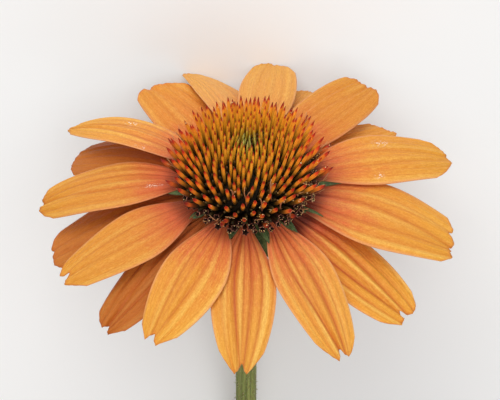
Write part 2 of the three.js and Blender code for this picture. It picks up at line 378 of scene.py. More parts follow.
@dataclass(frozen=True)
class Blade:
    """A thin blade in millimetres and degrees, bent along its own middle line.

    Its slope goes evenly from rise to fall and its heading turns evenly by sweep, and it is tilted
    sideways by `bank`. It is widest at `widest` of its length; `claw` and `tip` are its widths at
    the two ends as shares of the widest, and `point` sharpens the way to the tip. Its sides hang
    down by `cup` of its half width, and the lower `bow` is, the more evenly along the blade.
    """

    start: Point
    heading: float
    length: float
    width: float
    rise: float
    fall: float
    sweep: float = 0.0
    bank: float = 0.0
    claw: float = 0.28
    widest: float = 0.46
    tip: float = 0.3
    point: float = 0.7
    cup: float = 0.12
    bow: float = 0.7

    def grid(self, hold: float, steps: tuple[int, int]) -> tuple[Array, Array]:
        """A grid of places over the blade.

        Args:
            hold: How far it runs back behind its base, in millimetres.
            steps: Grid lines along and across.

        Returns:
            The places along the blade, 0 at its base and 1 at its tip, and those across it, -1 to 1.
        """
        s = np.linspace(-hold / self.length, 1, steps[0])[:, None]
        side = np.linspace(-1, 1, steps[1])[None, :]
        return tuple(np.broadcast_arrays(s, side))

    @staticmethod
    def swept(wave: np.ufunc, start: float, change: float, s: Array) -> Array:
        """The integral of wave(start + change * t) over t from 0 to s, for a sine or cosine."""
        half = change * s / 2
        return s * wave(start + half) * np.sinc(half / np.pi)

    def line(self, s: Array) -> tuple[Array, Array, Array]:
        """The middle line, with the directions across the blade and out of its top.

        Args:
            s: Places along the blade, 0 at its base and 1 at its tip.

        Returns:
            The line's points, the directions across, and the normals.
        """
        slope, heading = math.radians(self.rise), math.radians(self.heading)
        slope_change = math.radians(self.fall - self.rise)
        heading_change = math.radians(self.sweep)
        total = (slope + heading, slope_change + heading_change)
        apart = (slope - heading, slope_change - heading_change)
        x = (self.swept(np.cos, *apart, s) + self.swept(np.cos, *total, s)) / 2
        y = (self.swept(np.sin, *total, s) - self.swept(np.sin, *apart, s)) / 2
        z = self.swept(np.sin, slope, slope_change, s)
        centre = np.array(self.start) + self.length * np.stack([x, y, z], -1)
        up, turned = slope + slope_change * s, heading + heading_change * s
        along = np.stack([np.cos(up) * np.cos(turned), np.cos(up) * np.sin(turned), np.sin(up)], -1)
        flat, bank = level(turned), math.radians(self.bank)
        across = math.cos(bank) * flat + math.sin(bank) * np.cross(along, flat)
        return centre, across, np.cross(along, across)

    def half_width(self, s: Array) -> Array:
        """Half the width in millimetres at each s.

        It grows by a quarter sine up to the widest place, and then drops by a quarter cosine,
        raised to `point`, down to the tip.

        Args:
            s: Places along the blade.

        Returns:
            The half width at each.
        """
        beyond = np.clip((s - self.widest) / (1 - self.widest), 0, 1)
        before = np.clip(s, 0, self.widest) / self.widest
        swell = self.claw + (1 - self.claw) * np.sin(np.pi / 2 * before)
        narrow = self.tip + (1 - self.tip) * np.cos(np.pi / 2 * beyond).clip(0) ** self.point
        return self.width / 2 * np.where(s < self.widest, swell, narrow)

    def surface(self, s: Array, side: Array, lift: Array) -> Array:
        """Points of the blade: line + across * side * half width + normal * (lift - droop).

        Args:
            s: Places along the blade.
            side: Places across it, -1 to 1 from edge to edge.
            lift: Millimetres out of the blade's middle surface.

        Returns:
            The points, in the frame that `start` is in.
        """
        centre, across, normal = self.line(s)
        hang = np.sin(np.pi * np.clip(s, 0, 1)).clip(0) ** self.bow
        droop = self.cup * self.width / 2 * side**2 * hang
        reach = side * self.half_width(s)
        return centre + across * reach[..., None] + normal * (lift - droop)[..., None]


class Wiring:
    """Adds nodes to one node tree and joins them."""

    def __init__(self, tree: NodeTree) -> None:
        """Keeps the tree that the other methods work on."""
        self.tree = tree

    def feed(self, socket: Socket, source: Source) -> None:
        """Joins an input to another node's output, or sets its constant.

        Args:
            socket: The input.
            source: The output or the constant.
        """
        if isinstance(source, Socket):
            self.tree.links.new(source, socket)
        else:
            socket.default_value = source

    def join(
        self, kind: str, output: str | int, sources: dict[str | int, Source], **settings: object
    ) -> Socket:
        """Adds a node and feeds its inputs.

        Args:
            kind: The node's type without "ShaderNode".
            output: The name or number of the output that is wanted.
            sources: Its inputs by name or number.
            settings: Its properties.

        Returns:
            The output.
        """
        node = self.tree.nodes.new(f"ShaderNode{kind}")
        for name, value in settings.items():
            setattr(node, name, value)
        for key, source in sources.items():
            self.feed(node.inputs[key], source)
        return node.outputs[output]

    def value(self, name: str) -> Socket:
        """The piece's own value of that name."""
        return self.join("Attribute", "Fac", {}, attribute_name=name)

    def share(self, name: str, factor: float) -> Socket:
        """The piece's own value of that name, times a factor."""
        return self.maths("MULTIPLY", self.value(name), factor)

    def blade_place(self) -> Socket:
        """The flat place on a blade, in millimetres across and along."""
        return self.join("UVMap", "UV", {}, uv_map=BLADE_UV)

    def place(self) -> Socket:
        """The place in the part's frame, in metres."""
        return self.join("TexCoord", "Object", {})

    def maths(self, operation: str, *sources: Source, clamp: bool = False) -> Socket:
        """The result of a Math node, cut to 0 to 1 where clamp is set."""
        return self.join("Math", 0, dict(enumerate(sources)), operation=operation, use_clamp=clamp)

    def mix(self, factor: Source, first: Source, second: Source) -> Socket:
        """Mixes two colours; the factor is the share of the second one."""
        sources = dict(zip(MIX_INPUTS, (factor, first, second)))
        return self.join("Mix", MIX_RESULT, sources, data_type="RGBA", clamp_factor=True)

    def ramp(self, source: Socket, stops: Stops) -> Socket:
        """Turns a value into a colour.

        Args:
            source: The value.
            stops: Places from 0 to 1 with their colours, in order.

        Returns:
            The colour.
        """
        colour = self.join("ValToRGB", "Color", {0: source})
        ramp = colour.node.color_ramp
        while len(ramp.elements) < len(stops):
            ramp.elements.new(0.5)
        for element, (position, shade) in zip(ramp.elements, stops):
            element.position = position
            element.color = shade
        return colour

    def spread(self, source: Socket, given: Pair, wanted: Pair = FULL) -> Socket:
        """Maps the given range of values to the wanted one and cuts what lies beyond."""
        names = ("Value", "From Min", "From Max", "To Min", "To Max")
        return self.join("MapRange", "Result", dict(zip(names, (source, *given, *wanted))))

    def noise(self, place: Source, scale: Source, detail: Source) -> Socket:
        """Smooth noise from 0 to 1, with `scale` lumps a unit and `detail` finer layers."""
        return self.join("TexNoise", "Fac", {"Vector": place, "Scale": scale, "Detail": detail})

    def lighten(self, colour: Source, light: Source) -> Socket:
        """Multiplies a colour by a level of light."""
        return self.join("HueSaturation", "Color", {"Value": light, "Color": colour})

    def effect(self, build: Callable[[], NodeTree], **sources: Source) -> Socket:
        """Places a shared effect, which its method of Effects builds at the first use."""
        group = bpy.data.node_groups.get(build.__name__) or build()
        return self.join("Group", 0, sources, node_tree=group)

    def bump(self, height: Socket, depth: float, strength: float) -> Socket:
        """Turns a height into a normal; a height of 1 stands for `depth` metres."""
        sources = {"Height": height, "Distance": depth, "Strength": strength}
        return self.join("Bump", "Normal", sources)

    def dress(self, shader: Node, colour: Source, rough: Source, normal: Source) -> None:
        """Joins a shader to its colour, its roughness and its normal."""
        for name, source in (("Base Color", colour), ("Roughness", rough), ("Normal", normal)):
            self.feed(shader.inputs[name], source)


@dataclass(frozen=True)
class Gloss:
    """The even part of a finish: constants of the shader itself."""

    specular: float = 0.4
    sheen: float = 0.0
    sheen_roughness: float = 0.5

    def shader(self, name: str) -> tuple[Material, Wiring, Node]:
        """Starts a material.

        Args:
            name: The material's name.

        Returns:
            The material, its wiring and its Principled shader.
        """
        material = bpy.data.materials.new(name)
        material.use_nodes = True
        shader = material.node_tree.nodes["Principled BSDF"]
        shader.inputs["Specular IOR Level"].default_value = self.specular
        shader.inputs["Sheen Weight"].default_value = self.sheen
        shader.inputs["Sheen Roughness"].default_value = self.sheen_roughness
        return material, Wiring(material.node_tree), shader


class Effects:
    """Shader node groups that more than one finish uses, each named as its method."""

    @staticmethod
    def group(
        name: str, output: str, **numbers: float
    ) -> tuple[NodeTree, dict[str, Socket], Wiring, Socket]:
        """Starts a node group that reads a place.

        Args:
            name: The group's name.
            output: The name of its one output.
            numbers: Its other inputs by name, with their defaults.

        Returns:
            The group, its inputs by name, its wiring and the socket of its output.
        """
        tree = bpy.data.node_groups.new(name, "ShaderNodeTree")
        tree.interface.new_socket("Place", in_out="INPUT", socket_type="NodeSocketVector")
        for title, default in numbers.items():
            made = tree.interface.new_socket(title, in_out="INPUT", socket_type="NodeSocketFloat")
            made.default_value = default
        tree.interface.new_socket(output, in_out="OUTPUT", socket_type="NodeSocketFloat")
        entry, end = tree.nodes.new("NodeGroupInput"), tree.nodes.new("NodeGroupOutput")
        given = {title: entry.outputs[title] for title in ("Place", *numbers)}
        return tree, given, Wiring(tree), end.inputs[output]

    @classmethod
    def streaks(cls) -> NodeTree:
        """Noise drawn out along a blade: it is read at the place times (across, along, 1).

        Returns:
            The group.
        """
        tree, given, wiring, mask = cls.group("streaks", "Mask", Across=1.5, Along=0.05, Detail=3.0)
        pace = {"X": given["Across"], "Y": given["Along"], "Z": 1.0}
        factors = {0: given["Place"], 1: wiring.join("CombineXYZ", "Vector", pace)}
        drawn = wiring.join("VectorMath", "Vector", factors, operation="MULTIPLY")
        wiring.feed(mask, wiring.noise(drawn, scale=1.0, detail=given["Detail"]))
        return tree

    @classmethod
    def grain(cls) -> NodeTree:
        """Fine pitted skin: noise, sharpened around its middle.

        Returns:
            The group.
        """
        tree, given, wiring, height = cls.group("grain", "Height", Scale=1000.0, Detail=3.0)
        lumps = wiring.noise(given["Place"], given["Scale"], given["Detail"])
        wiring.feed(height, wiring.spread(lumps, NOISE))
        return tree

    @classmethod
    def specks(cls) -> NodeTree:
        """Small round spots: 1 near the middle of each cell of a Voronoi pattern, 0 elsewhere.

        Returns:
            The group.
        """
        tree, given, wiring, mask = cls.group("specks", "Mask", Scale=1.0, Size=0.2)
        cells = {"Vector": given["Place"], "Scale": given["Scale"]}
        far = wiring.join("TexVoronoi", "Distance", cells, feature="F1")
        near = wiring.maths("SUBTRACT", given["Size"], far)
        wiring.feed(mask, wiring.maths("MULTIPLY", near, SPECK_EDGE, clamp=True))
        return tree


# The petals' pale edges, the highlights on their ridges and part of their grooves' dark are painted
# light and shade.
@dataclass(frozen=True)
class PetalFinish:
    """Orange petal: coral at the base and gold at the tip, with burnt grooves and pale edges.

    Attributes:
        lengthwise: The colours from base to tip.
        groove: The colours of the grooves and veins from base to tip.
        drift: How far noise shifts the colours along the petal, and what centres the shift.
        vein_share: How strong the fine veins are next to the grooves.
    """

    lengthwise: Stops = (
        (0.0, srgb(226, 90, 58)), (0.05, srgb(253, 124, 78)), (0.22, srgb(230, 122, 52)),
        (0.5, srgb(236, 150, 50)), (0.95, srgb(238, 164, 48)),
    )
    # The grooves' dark: partly the veins' own colour, partly painted shade in the troughs.
    groove: Stops = ((0.03, srgb(166, 42, 28)), (0.3, srgb(186, 72, 28)), (0.9, srgb(196, 100, 30)))
    drift: Pair = (0.55, 0.54)
    vein_share: float = 0.26
    # Painted shade of the disc on the petals' bases, over their own darker maroon base.
    foot: Colour = srgb(92, 26, 16)
    # Painted highlight on the ridges between the grooves.
    ridge_highlight: Colour = srgb(253, 202, 96)
    blush: Colour = srgb(240, 98, 64)
    # Painted highlight where the petals' edges catch the light.
    edge: Colour = srgb(240, 168, 116)
    under: Colour = srgb(222, 152, 96)
    # `deep` is painted shade on petals that lie under others; `pale` is painted light on shaded and far
    # petals.
    deep: Colour = srgb(184, 92, 26)
    pale: Colour = srgb(240, 184, 116)
    fleck: Colour = srgb(252, 232, 212)
    gloss: Gloss = Gloss(specular=0.3, sheen=0.04, sheen_roughness=0.4)

    def material(self) -> Material:
        """Builds the petals' one material; each petal's own values vary it.

        Returns:
            The material.
        """
        material, wiring, shader = self.gloss.shader("petal")
        place, along = wiring.blade_place(), wiring.value("along")
        broad = wiring.effect(Effects.streaks, Place=place, Across=0.7, Along=0.03, Detail=2.0)
        veins = wiring.effect(Effects.streaks, Place=place, Across=2.2, Along=0.05, Detail=2.0)
        fibre = wiring.effect(Effects.streaks, Place=place, Across=5.0, Along=0.6, Detail=3.0)
        paper = wiring.noise(place, scale=2.2, detail=3.0)
        shift = wiring.maths("MULTIPLY_ADD", broad, self.drift[0], along)
        blotch = wiring.noise(place, scale=0.2, detail=4.0)
        shift = wiring.maths("MULTIPLY_ADD", blotch, self.drift[0], shift)
        colour = wiring.ramp(wiring.maths("SUBTRACT", shift, self.drift[1]), self.lengthwise)
        fleecy = wiring.maths("MULTIPLY_ADD", paper, 0.7, fibre)
        # Paler where the fibres are, plus painted highlight on the ridges between the grooves.
        light = wiring.spread(fleecy, (0.65, 1.1), (-0.2, 0.42))
        light = wiring.maths("MULTIPLY_ADD", wiring.value("ridge_highlight"), 0.5, light)
        colour = wiring.mix(light, colour, self.ridge_highlight)
        colour = wiring.mix(wiring.value("blush"), colour, self.blush)
        # Fine veins and the grooves' dark lines. A groove's wide dark is painted shade in its trough.
        thread = wiring.maths("MULTIPLY", wiring.spread(veins, (0.55, 0.66)), self.vein_share)
        broken = wiring.spread(broad, (0.3, 0.6), (0.55, 1.0))
        line = wiring.maths("MULTIPLY", wiring.value("groove"), broken)
        lines = wiring.maths("MAXIMUM", thread, line)
        colour = wiring.mix(lines, colour, wiring.ramp(along, self.groove))
        # Painted highlight along the petals' edges.
        colour = wiring.mix(wiring.share("edge", 0.6), colour, self.edge)
        # The dark of the base, with ragged ends: painted shade of the disc over the base's own darker
        # colour.
        ragged = wiring.spread(veins, (0.3, 0.55), (0.7, 1))
        foot = wiring.maths("MULTIPLY", wiring.value("foot"), ragged)
        colour = wiring.mix(foot, colour, self.foot)
        colour = wiring.mix(wiring.share("under", 0.6), colour, self.under)
        # Each petal's tone: besides its own slight difference, deep is painted shade on petals under
        # others and pale is painted light on shaded ones.
        tone = wiring.value("tone")
        colour = wiring.mix(wiring.spread(tone, (0, -1), (0, 0.8)), colour, self.deep)
        colour = wiring.mix(wiring.spread(tone, (0, 1), (0, 0.5)), colour, self.pale)
        colour = wiring.lighten(colour, wiring.spread(fleecy, (0.6, 1.1), (0.925, 1.03)))
        crumbs = wiring.effect(Effects.specks, Place=place, Scale=1.7, Size=0.42)
        crumbs = wiring.maths("MULTIPLY", crumbs, wiring.value("fleck"), clamp=True)
        colour = wiring.mix(crumbs, colour, self.fleck)
        height = wiring.maths("MULTIPLY_ADD", paper, 0.8, fibre)
        height = wiring.maths("MULTIPLY_ADD", veins, 0.8, height)
        rough = wiring.spread(fibre, NOISE, (0.6, 0.48))
        wiring.dress(shader, colour, rough, wiring.bump(height, depth=0.00025, strength=0.7))
        return material


@dataclass(frozen=True)
class SpineFinish:
    """Stiff spine: olive brown at the root, golden orange above and red at its tip.

    Its colours from root to tip are `gold`, and each spine's own values turn them towards `ripe`
    and `old` in the lower rows and towards `green` and `bud` at the top. `old` is
    painted shade on the low spines, most at the flower's two sides.
    """

    gloss: Gloss = Gloss(specular=0.22)
    gold: Stops = (
        (0.0, srgb(40, 32, 14)), (0.3, srgb(112, 84, 30)), (0.55, srgb(222, 160, 46)),
        (0.72, srgb(255, 200, 56)), (0.9, srgb(255, 174, 50)), (0.935, srgb(196, 58, 26)),
        (0.97, srgb(138, 26, 18)), (1.0, srgb(96, 18, 14)),
    )
    ripe: Stops = (
        (0.0, srgb(24, 18, 10)), (0.4, srgb(50, 40, 16)), (0.62, srgb(136, 92, 30)),
        (0.78, srgb(255, 168, 48)), (0.87, srgb(250, 136, 44)), (0.92, srgb(216, 62, 28)),
        (1.0, srgb(130, 20, 14)),
    )
    # Painted shade on the low spines: dark bodies, with orange-red tips that show on the front's end-on
    # stubs.
    old: Stops = (
        (0.0, srgb(20, 14, 8)), (0.55, srgb(46, 28, 14)), (0.72, srgb(110, 54, 22)),
        (0.86, srgb(212, 98, 40)), (0.93, srgb(168, 52, 36)), (1.0, srgb(104, 26, 24)),
    )
    green: Stops = (
        (0.0, srgb(52, 52, 20)), (0.3, srgb(122, 116, 38)), (0.55, srgb(214, 194, 62)),
        (0.88, srgb(244, 200, 66)), (0.92, srgb(206, 84, 34)), (0.97, srgb(160, 30, 20)),
        (1.0, srgb(110, 16, 14)),
    )
    bud: Stops = (
        (0.0, srgb(52, 56, 20)), (0.45, srgb(100, 108, 32)), (0.75, srgb(168, 172, 62)),
        (1.0, srgb(214, 212, 120)),
    )

    def material(self) -> Material:
        """Builds the spines' material.

        Returns:
            The material.
        """
        material, wiring, shader = self.gloss.shader("spine")
        place = wiring.place()
        mottle = wiring.noise(place, scale=900.0, detail=2.0)
        along = wiring.maths("MULTIPLY_ADD", mottle, 0.08, wiring.value("along"))
        along = wiring.maths("SUBTRACT", along, 0.04)
        colour = wiring.ramp(along, self.gold)
        for name in ("ripe", "old", "green", "bud"):
            colour = wiring.mix(wiring.value(name), colour, wiring.ramp(along, getattr(self, name)))
        tone = wiring.maths("MULTIPLY_ADD", wiring.value("tone"), 0.12, 1.0)
        colour = wiring.lighten(colour, tone)
        skin = wiring.effect(Effects.grain, Place=place, Scale=2600.0, Detail=2.0)
        rough = wiring.spread(mottle, NOISE, (0.46, 0.62))
        wiring.dress(shader, colour, rough, wiring.bump(skin, depth=0.00008, strength=0.5))
        return material


@dataclass(frozen=True)
class PlainFinish:
    """Small parts: colours by the value "along", mottled and slightly rough."""

    name: str
    stops: Stops
    rough: Pair = (0.45, 0.65)
    scale: float = 1200.0
    depth: float = 0.00008
    gloss: Gloss = Gloss(specular=0.3)

    def material(self) -> Material:
        """Builds the material.

        Returns:
            The material.
        """
        material, wiring, shader = self.gloss.shader(self.name)
        place = wiring.place()
        mottle = wiring.noise(place, self.scale, detail=3.0)
        colour = wiring.ramp(wiring.value("along"), self.stops)
        colour = wiring.lighten(colour, wiring.spread(mottle, NOISE, (0.75, 1.2)))
        skin = wiring.effect(Effects.grain, Place=place, Scale=self.scale * 2, Detail=3.0)
        rough = wiring.spread(mottle, NOISE, self.rough)
        wiring.dress(shader, colour, rough, wiring.bump(skin, self.depth, strength=0.6))
        return material


@dataclass(frozen=True)
class StemFinish:
    """Ribbed green stem with brown-red streaks and rough pale pores."""

    light: Colour = srgb(150, 156, 82)
    deep: Colour = srgb(104, 116, 52)
    streak: Colour = srgb(112, 70, 48)
    streak_share: float = 0.7
    pore: Colour = srgb(190, 192, 140)
    pore_share: float = 0.6
    gloss: Gloss = Gloss(specular=0.4)

    def material(self) -> Material:
        """Builds the stem's material.

        Returns:
            The material.
        """
        material, wiring, shader = self.gloss.shader("stem")
        place = wiring.blade_place()
        long = wiring.effect(Effects.streaks, Place=place, Across=1.6, Along=0.05, Detail=4.0)
        short = wiring.effect(Effects.streaks, Place=place, Across=4.0, Along=0.5, Detail=3.0)
        colour = wiring.mix(wiring.spread(long, (0.35, 0.65)), self.deep, self.light)
        rust = wiring.maths("MULTIPLY", wiring.spread(short, (0.52, 0.68)), self.streak_share)
        colour = wiring.mix(rust, colour, self.streak)
        pores = wiring.effect(Effects.specks, Place=place, Scale=1.3, Size=0.14)
        colour = wiring.mix(wiring.maths("MULTIPLY", pores, self.pore_share), colour, self.pore)
        height = wiring.maths("ADD", short, pores)
        rough = wiring.spread(long, NOISE, (0.45, 0.65))
        wiring.dress(shader, colour, rough, wiring.bump(height, depth=0.00012, strength=0.7))
        return material


@dataclass(frozen=True)
class LeafFinish:
    """Rough green leaf or bract, with paler veins and a net between them, and duller below."""

    name: str = "leaf"
    top: Colour = srgb(72, 104, 50)
    fresh: Colour = srgb(104, 134, 64)
    vein: Colour = srgb(142, 160, 96)
    below: Colour = srgb(128, 148, 104)
    edge: Colour = srgb(96, 92, 52)
    pore: Colour = srgb(168, 184, 140)
    pore_share: float = 0.35
    gloss: Gloss = Gloss(specular=0.4, sheen=0.08)

    def material(self) -> Material:
        """Builds the material.

        Returns:
            The material.
        """
        material, wiring, shader = self.gloss.shader(self.name)
        place = wiring.blade_place()
        blotch = wiring.noise(place, scale=0.16, detail=4.0)
        cells = {"Vector": place, "Scale": 0.8}
        net = wiring.join("TexVoronoi", "Distance", cells, feature="DISTANCE_TO_EDGE")
        net = wiring.spread(net, (0.0, 0.18))
        colour = wiring.mix(wiring.spread(blotch, (0.35, 0.65)), self.top, self.fresh)
        colour = wiring.mix(wiring.spread(net, FULL, (0.3, 0)), colour, self.vein)
        colour = wiring.mix(wiring.share("groove", 0.75), colour, self.vein)
        colour = wiring.mix(wiring.share("edge", 0.5), colour, self.edge)
        colour = wiring.mix(wiring.share("under", 0.7), colour, self.below)
        pores = wiring.effect(Effects.specks, Place=place, Scale=1.6, Size=0.13)
        colour = wiring.mix(wiring.maths("MULTIPLY", pores, self.pore_share), colour, self.pore)
        height = wiring.maths("MULTIPLY_ADD", pores, 0.5, net)
        rough = wiring.spread(blotch, NOISE, (0.48, 0.62))
        wiring.dress(shader, colour, rough, wiring.bump(height, depth=0.00018, strength=0.6))
        return material


@dataclass(frozen=True)
class Groove:
    """A groove along a petal: its side at the base and at the tip, its depth and half width.

    `stain` is how dark it is: its vein's own colour, and painted shade in its trough.
    """

    side: float
    tip_side: float
    depth: float
    width: float
    stain: float = 1.0


@dataclass(frozen=True)
class Fleck:
    """A patch of pale flecks on a petal: its place along and across, and its two half sizes."""

    along: float
    side: float
    length: float
    width: float


@dataclass(frozen=True)
class Ripple:
    """A wave over a petal: its height, and its radians in a half width and in the length."""

    height: float
    across: float
    along: float = 0.0

    def over(self, side: Array, s: Array, phase: float) -> Array:
        """The wave at places across and along the petal, shifted by a phase."""
        return self.height * np.sin(self.across * side + self.along * s + phase)


@dataclass(frozen=True)
class Petal:
    """One petal, in millimetres and degrees, whose sizes are those of its blade.

    Attributes:
        azimuth: Where its base stands around the receptacle's rim.
        tier: Its row, which gives its base a height that `lift` adds to.
        sides: Factors on the two halves of its width.
        edge: Draws the tip: places across with how many millimetres the edge drops back there.
        notch: The side of the tip that its two deep grooves run to.
        flecks: Its patches of pale flecks.
        tone: From -1, deep, to 1, pale: partly the petal's own tone, and partly painted shade on petals
            under others and painted light on shaded ones.
        blush: How red it is towards its base.
        flush: How red it is all over.
        foot: How dark its base is: painted shade of the disc, over the base's own darker colour.
        folds: How deep its grooves are next to the plain ones.
    """

    azimuth: float
    length: float
    width: float
    rise: float
    fall: float
    tier: Tier = Tier.UPPER
    sweep: float = 0.0
    bank: float = 0.0
    lift: float = 0.0
    widest: float = 0.46
    tip: float = 0.4
    cup: float = 0.12
    claw: float = 0.18
    sides: Pair = (1.0, 1.0)
    edge: Edge = ((-1, 2.8), (-0.6, 0.8), (0, 0), (0.6, 0.8), (1, 2.8))
    notch: float = 0.0
    flecks: tuple[Fleck, ...] = ()
    tone: float = 0.0
    blush: float = 0.3
    flush: float = 0.0
    foot: float = 0.9
    folds: float = 1.0

    def blade(self, root: float) -> Blade:
        """Works out the petal's plain blade.

        Args:
            root: How far from the flower's axis its base stands.

        Returns:
            The blade.
        """
        turn = math.radians(self.azimuth)
        start = (root * math.cos(turn), root * math.sin(turn), self.tier.value + self.lift)
        return Blade(
            start=start, heading=self.azimuth, length=self.length, width=self.width,
            rise=self.rise, fall=self.fall, sweep=self.sweep, bank=self.bank,
            claw=self.claw, widest=self.widest, tip=self.tip, cup=self.cup,
        )

    def stretch(self, side: Array) -> Array:
        """Widens the two halves by their own factors, with a smooth change at the middle."""
        share = 0.5 + 0.5 * np.tanh(side / 0.25)
        return side * between(self.sides, share)

    def reach(self, side: Array) -> Array:
        """How far the petal reaches at each side, as a share of its length.

        The edge runs straight between its points, and a weighted mean of three near places
        rounds its corners.

        Args:
            side: Places across the petal.

        Returns:
            The reach for each place.
        """
        places, drops = np.array(self.edge).T
        near = [np.interp(side + step, places, drops) for step in (-0.03, 0.0, 0.03)]
        return 1 - (near[0] + 2 * near[1] + near[2]) / 4 / self.length

    def grooves(self, rng: np.random.Generator) -> list[Groove]:
        """The petal's grooves: two deep ones, three between and beside them, and twelve fine ones.

        The deep ones run to the notch. The others spread out less towards the tip than at the
        base, by a share of their side.

        Args:
            rng: Where the small shifts and the stains are drawn from.

        Returns:
            The grooves.
        """
        nudge = rng.uniform(-0.05, 0.05, 2)
        grooves = [
            Groove(-0.32 + nudge[0], self.notch - 0.1, 0.75 * self.folds, 0.11),
            Groove(0.3 + nudge[1], self.notch + 0.08, 0.75 * self.folds, 0.11),
        ]
        rows = (
            # sides, shift, ranges of dark as vein colour and painted shade, share at the tip, pull of
            # the notch, depth, half width
            (np.array([-0.64, -0.03, 0.62]), 0.07, (0.35, 0.8), 0.8, 0.3, 0.42, 0.09),
            (np.linspace(-0.88, 0.88, 12), 0.06, (0.05, 0.4), 0.85, 0.0, 0.07, 0.04),
        )
        for sides, shift, veins_and_shades, share, pull, depth, width in rows:
            sides = sides + rng.uniform(-shift, shift, len(sides))
            for side, stain in zip(sides, rng.uniform(*veins_and_shades, len(sides))):
                end = share * side + self.notch * pull
                grooves.append(Groove(side, end, depth * self.folds, width, stain))
        return grooves


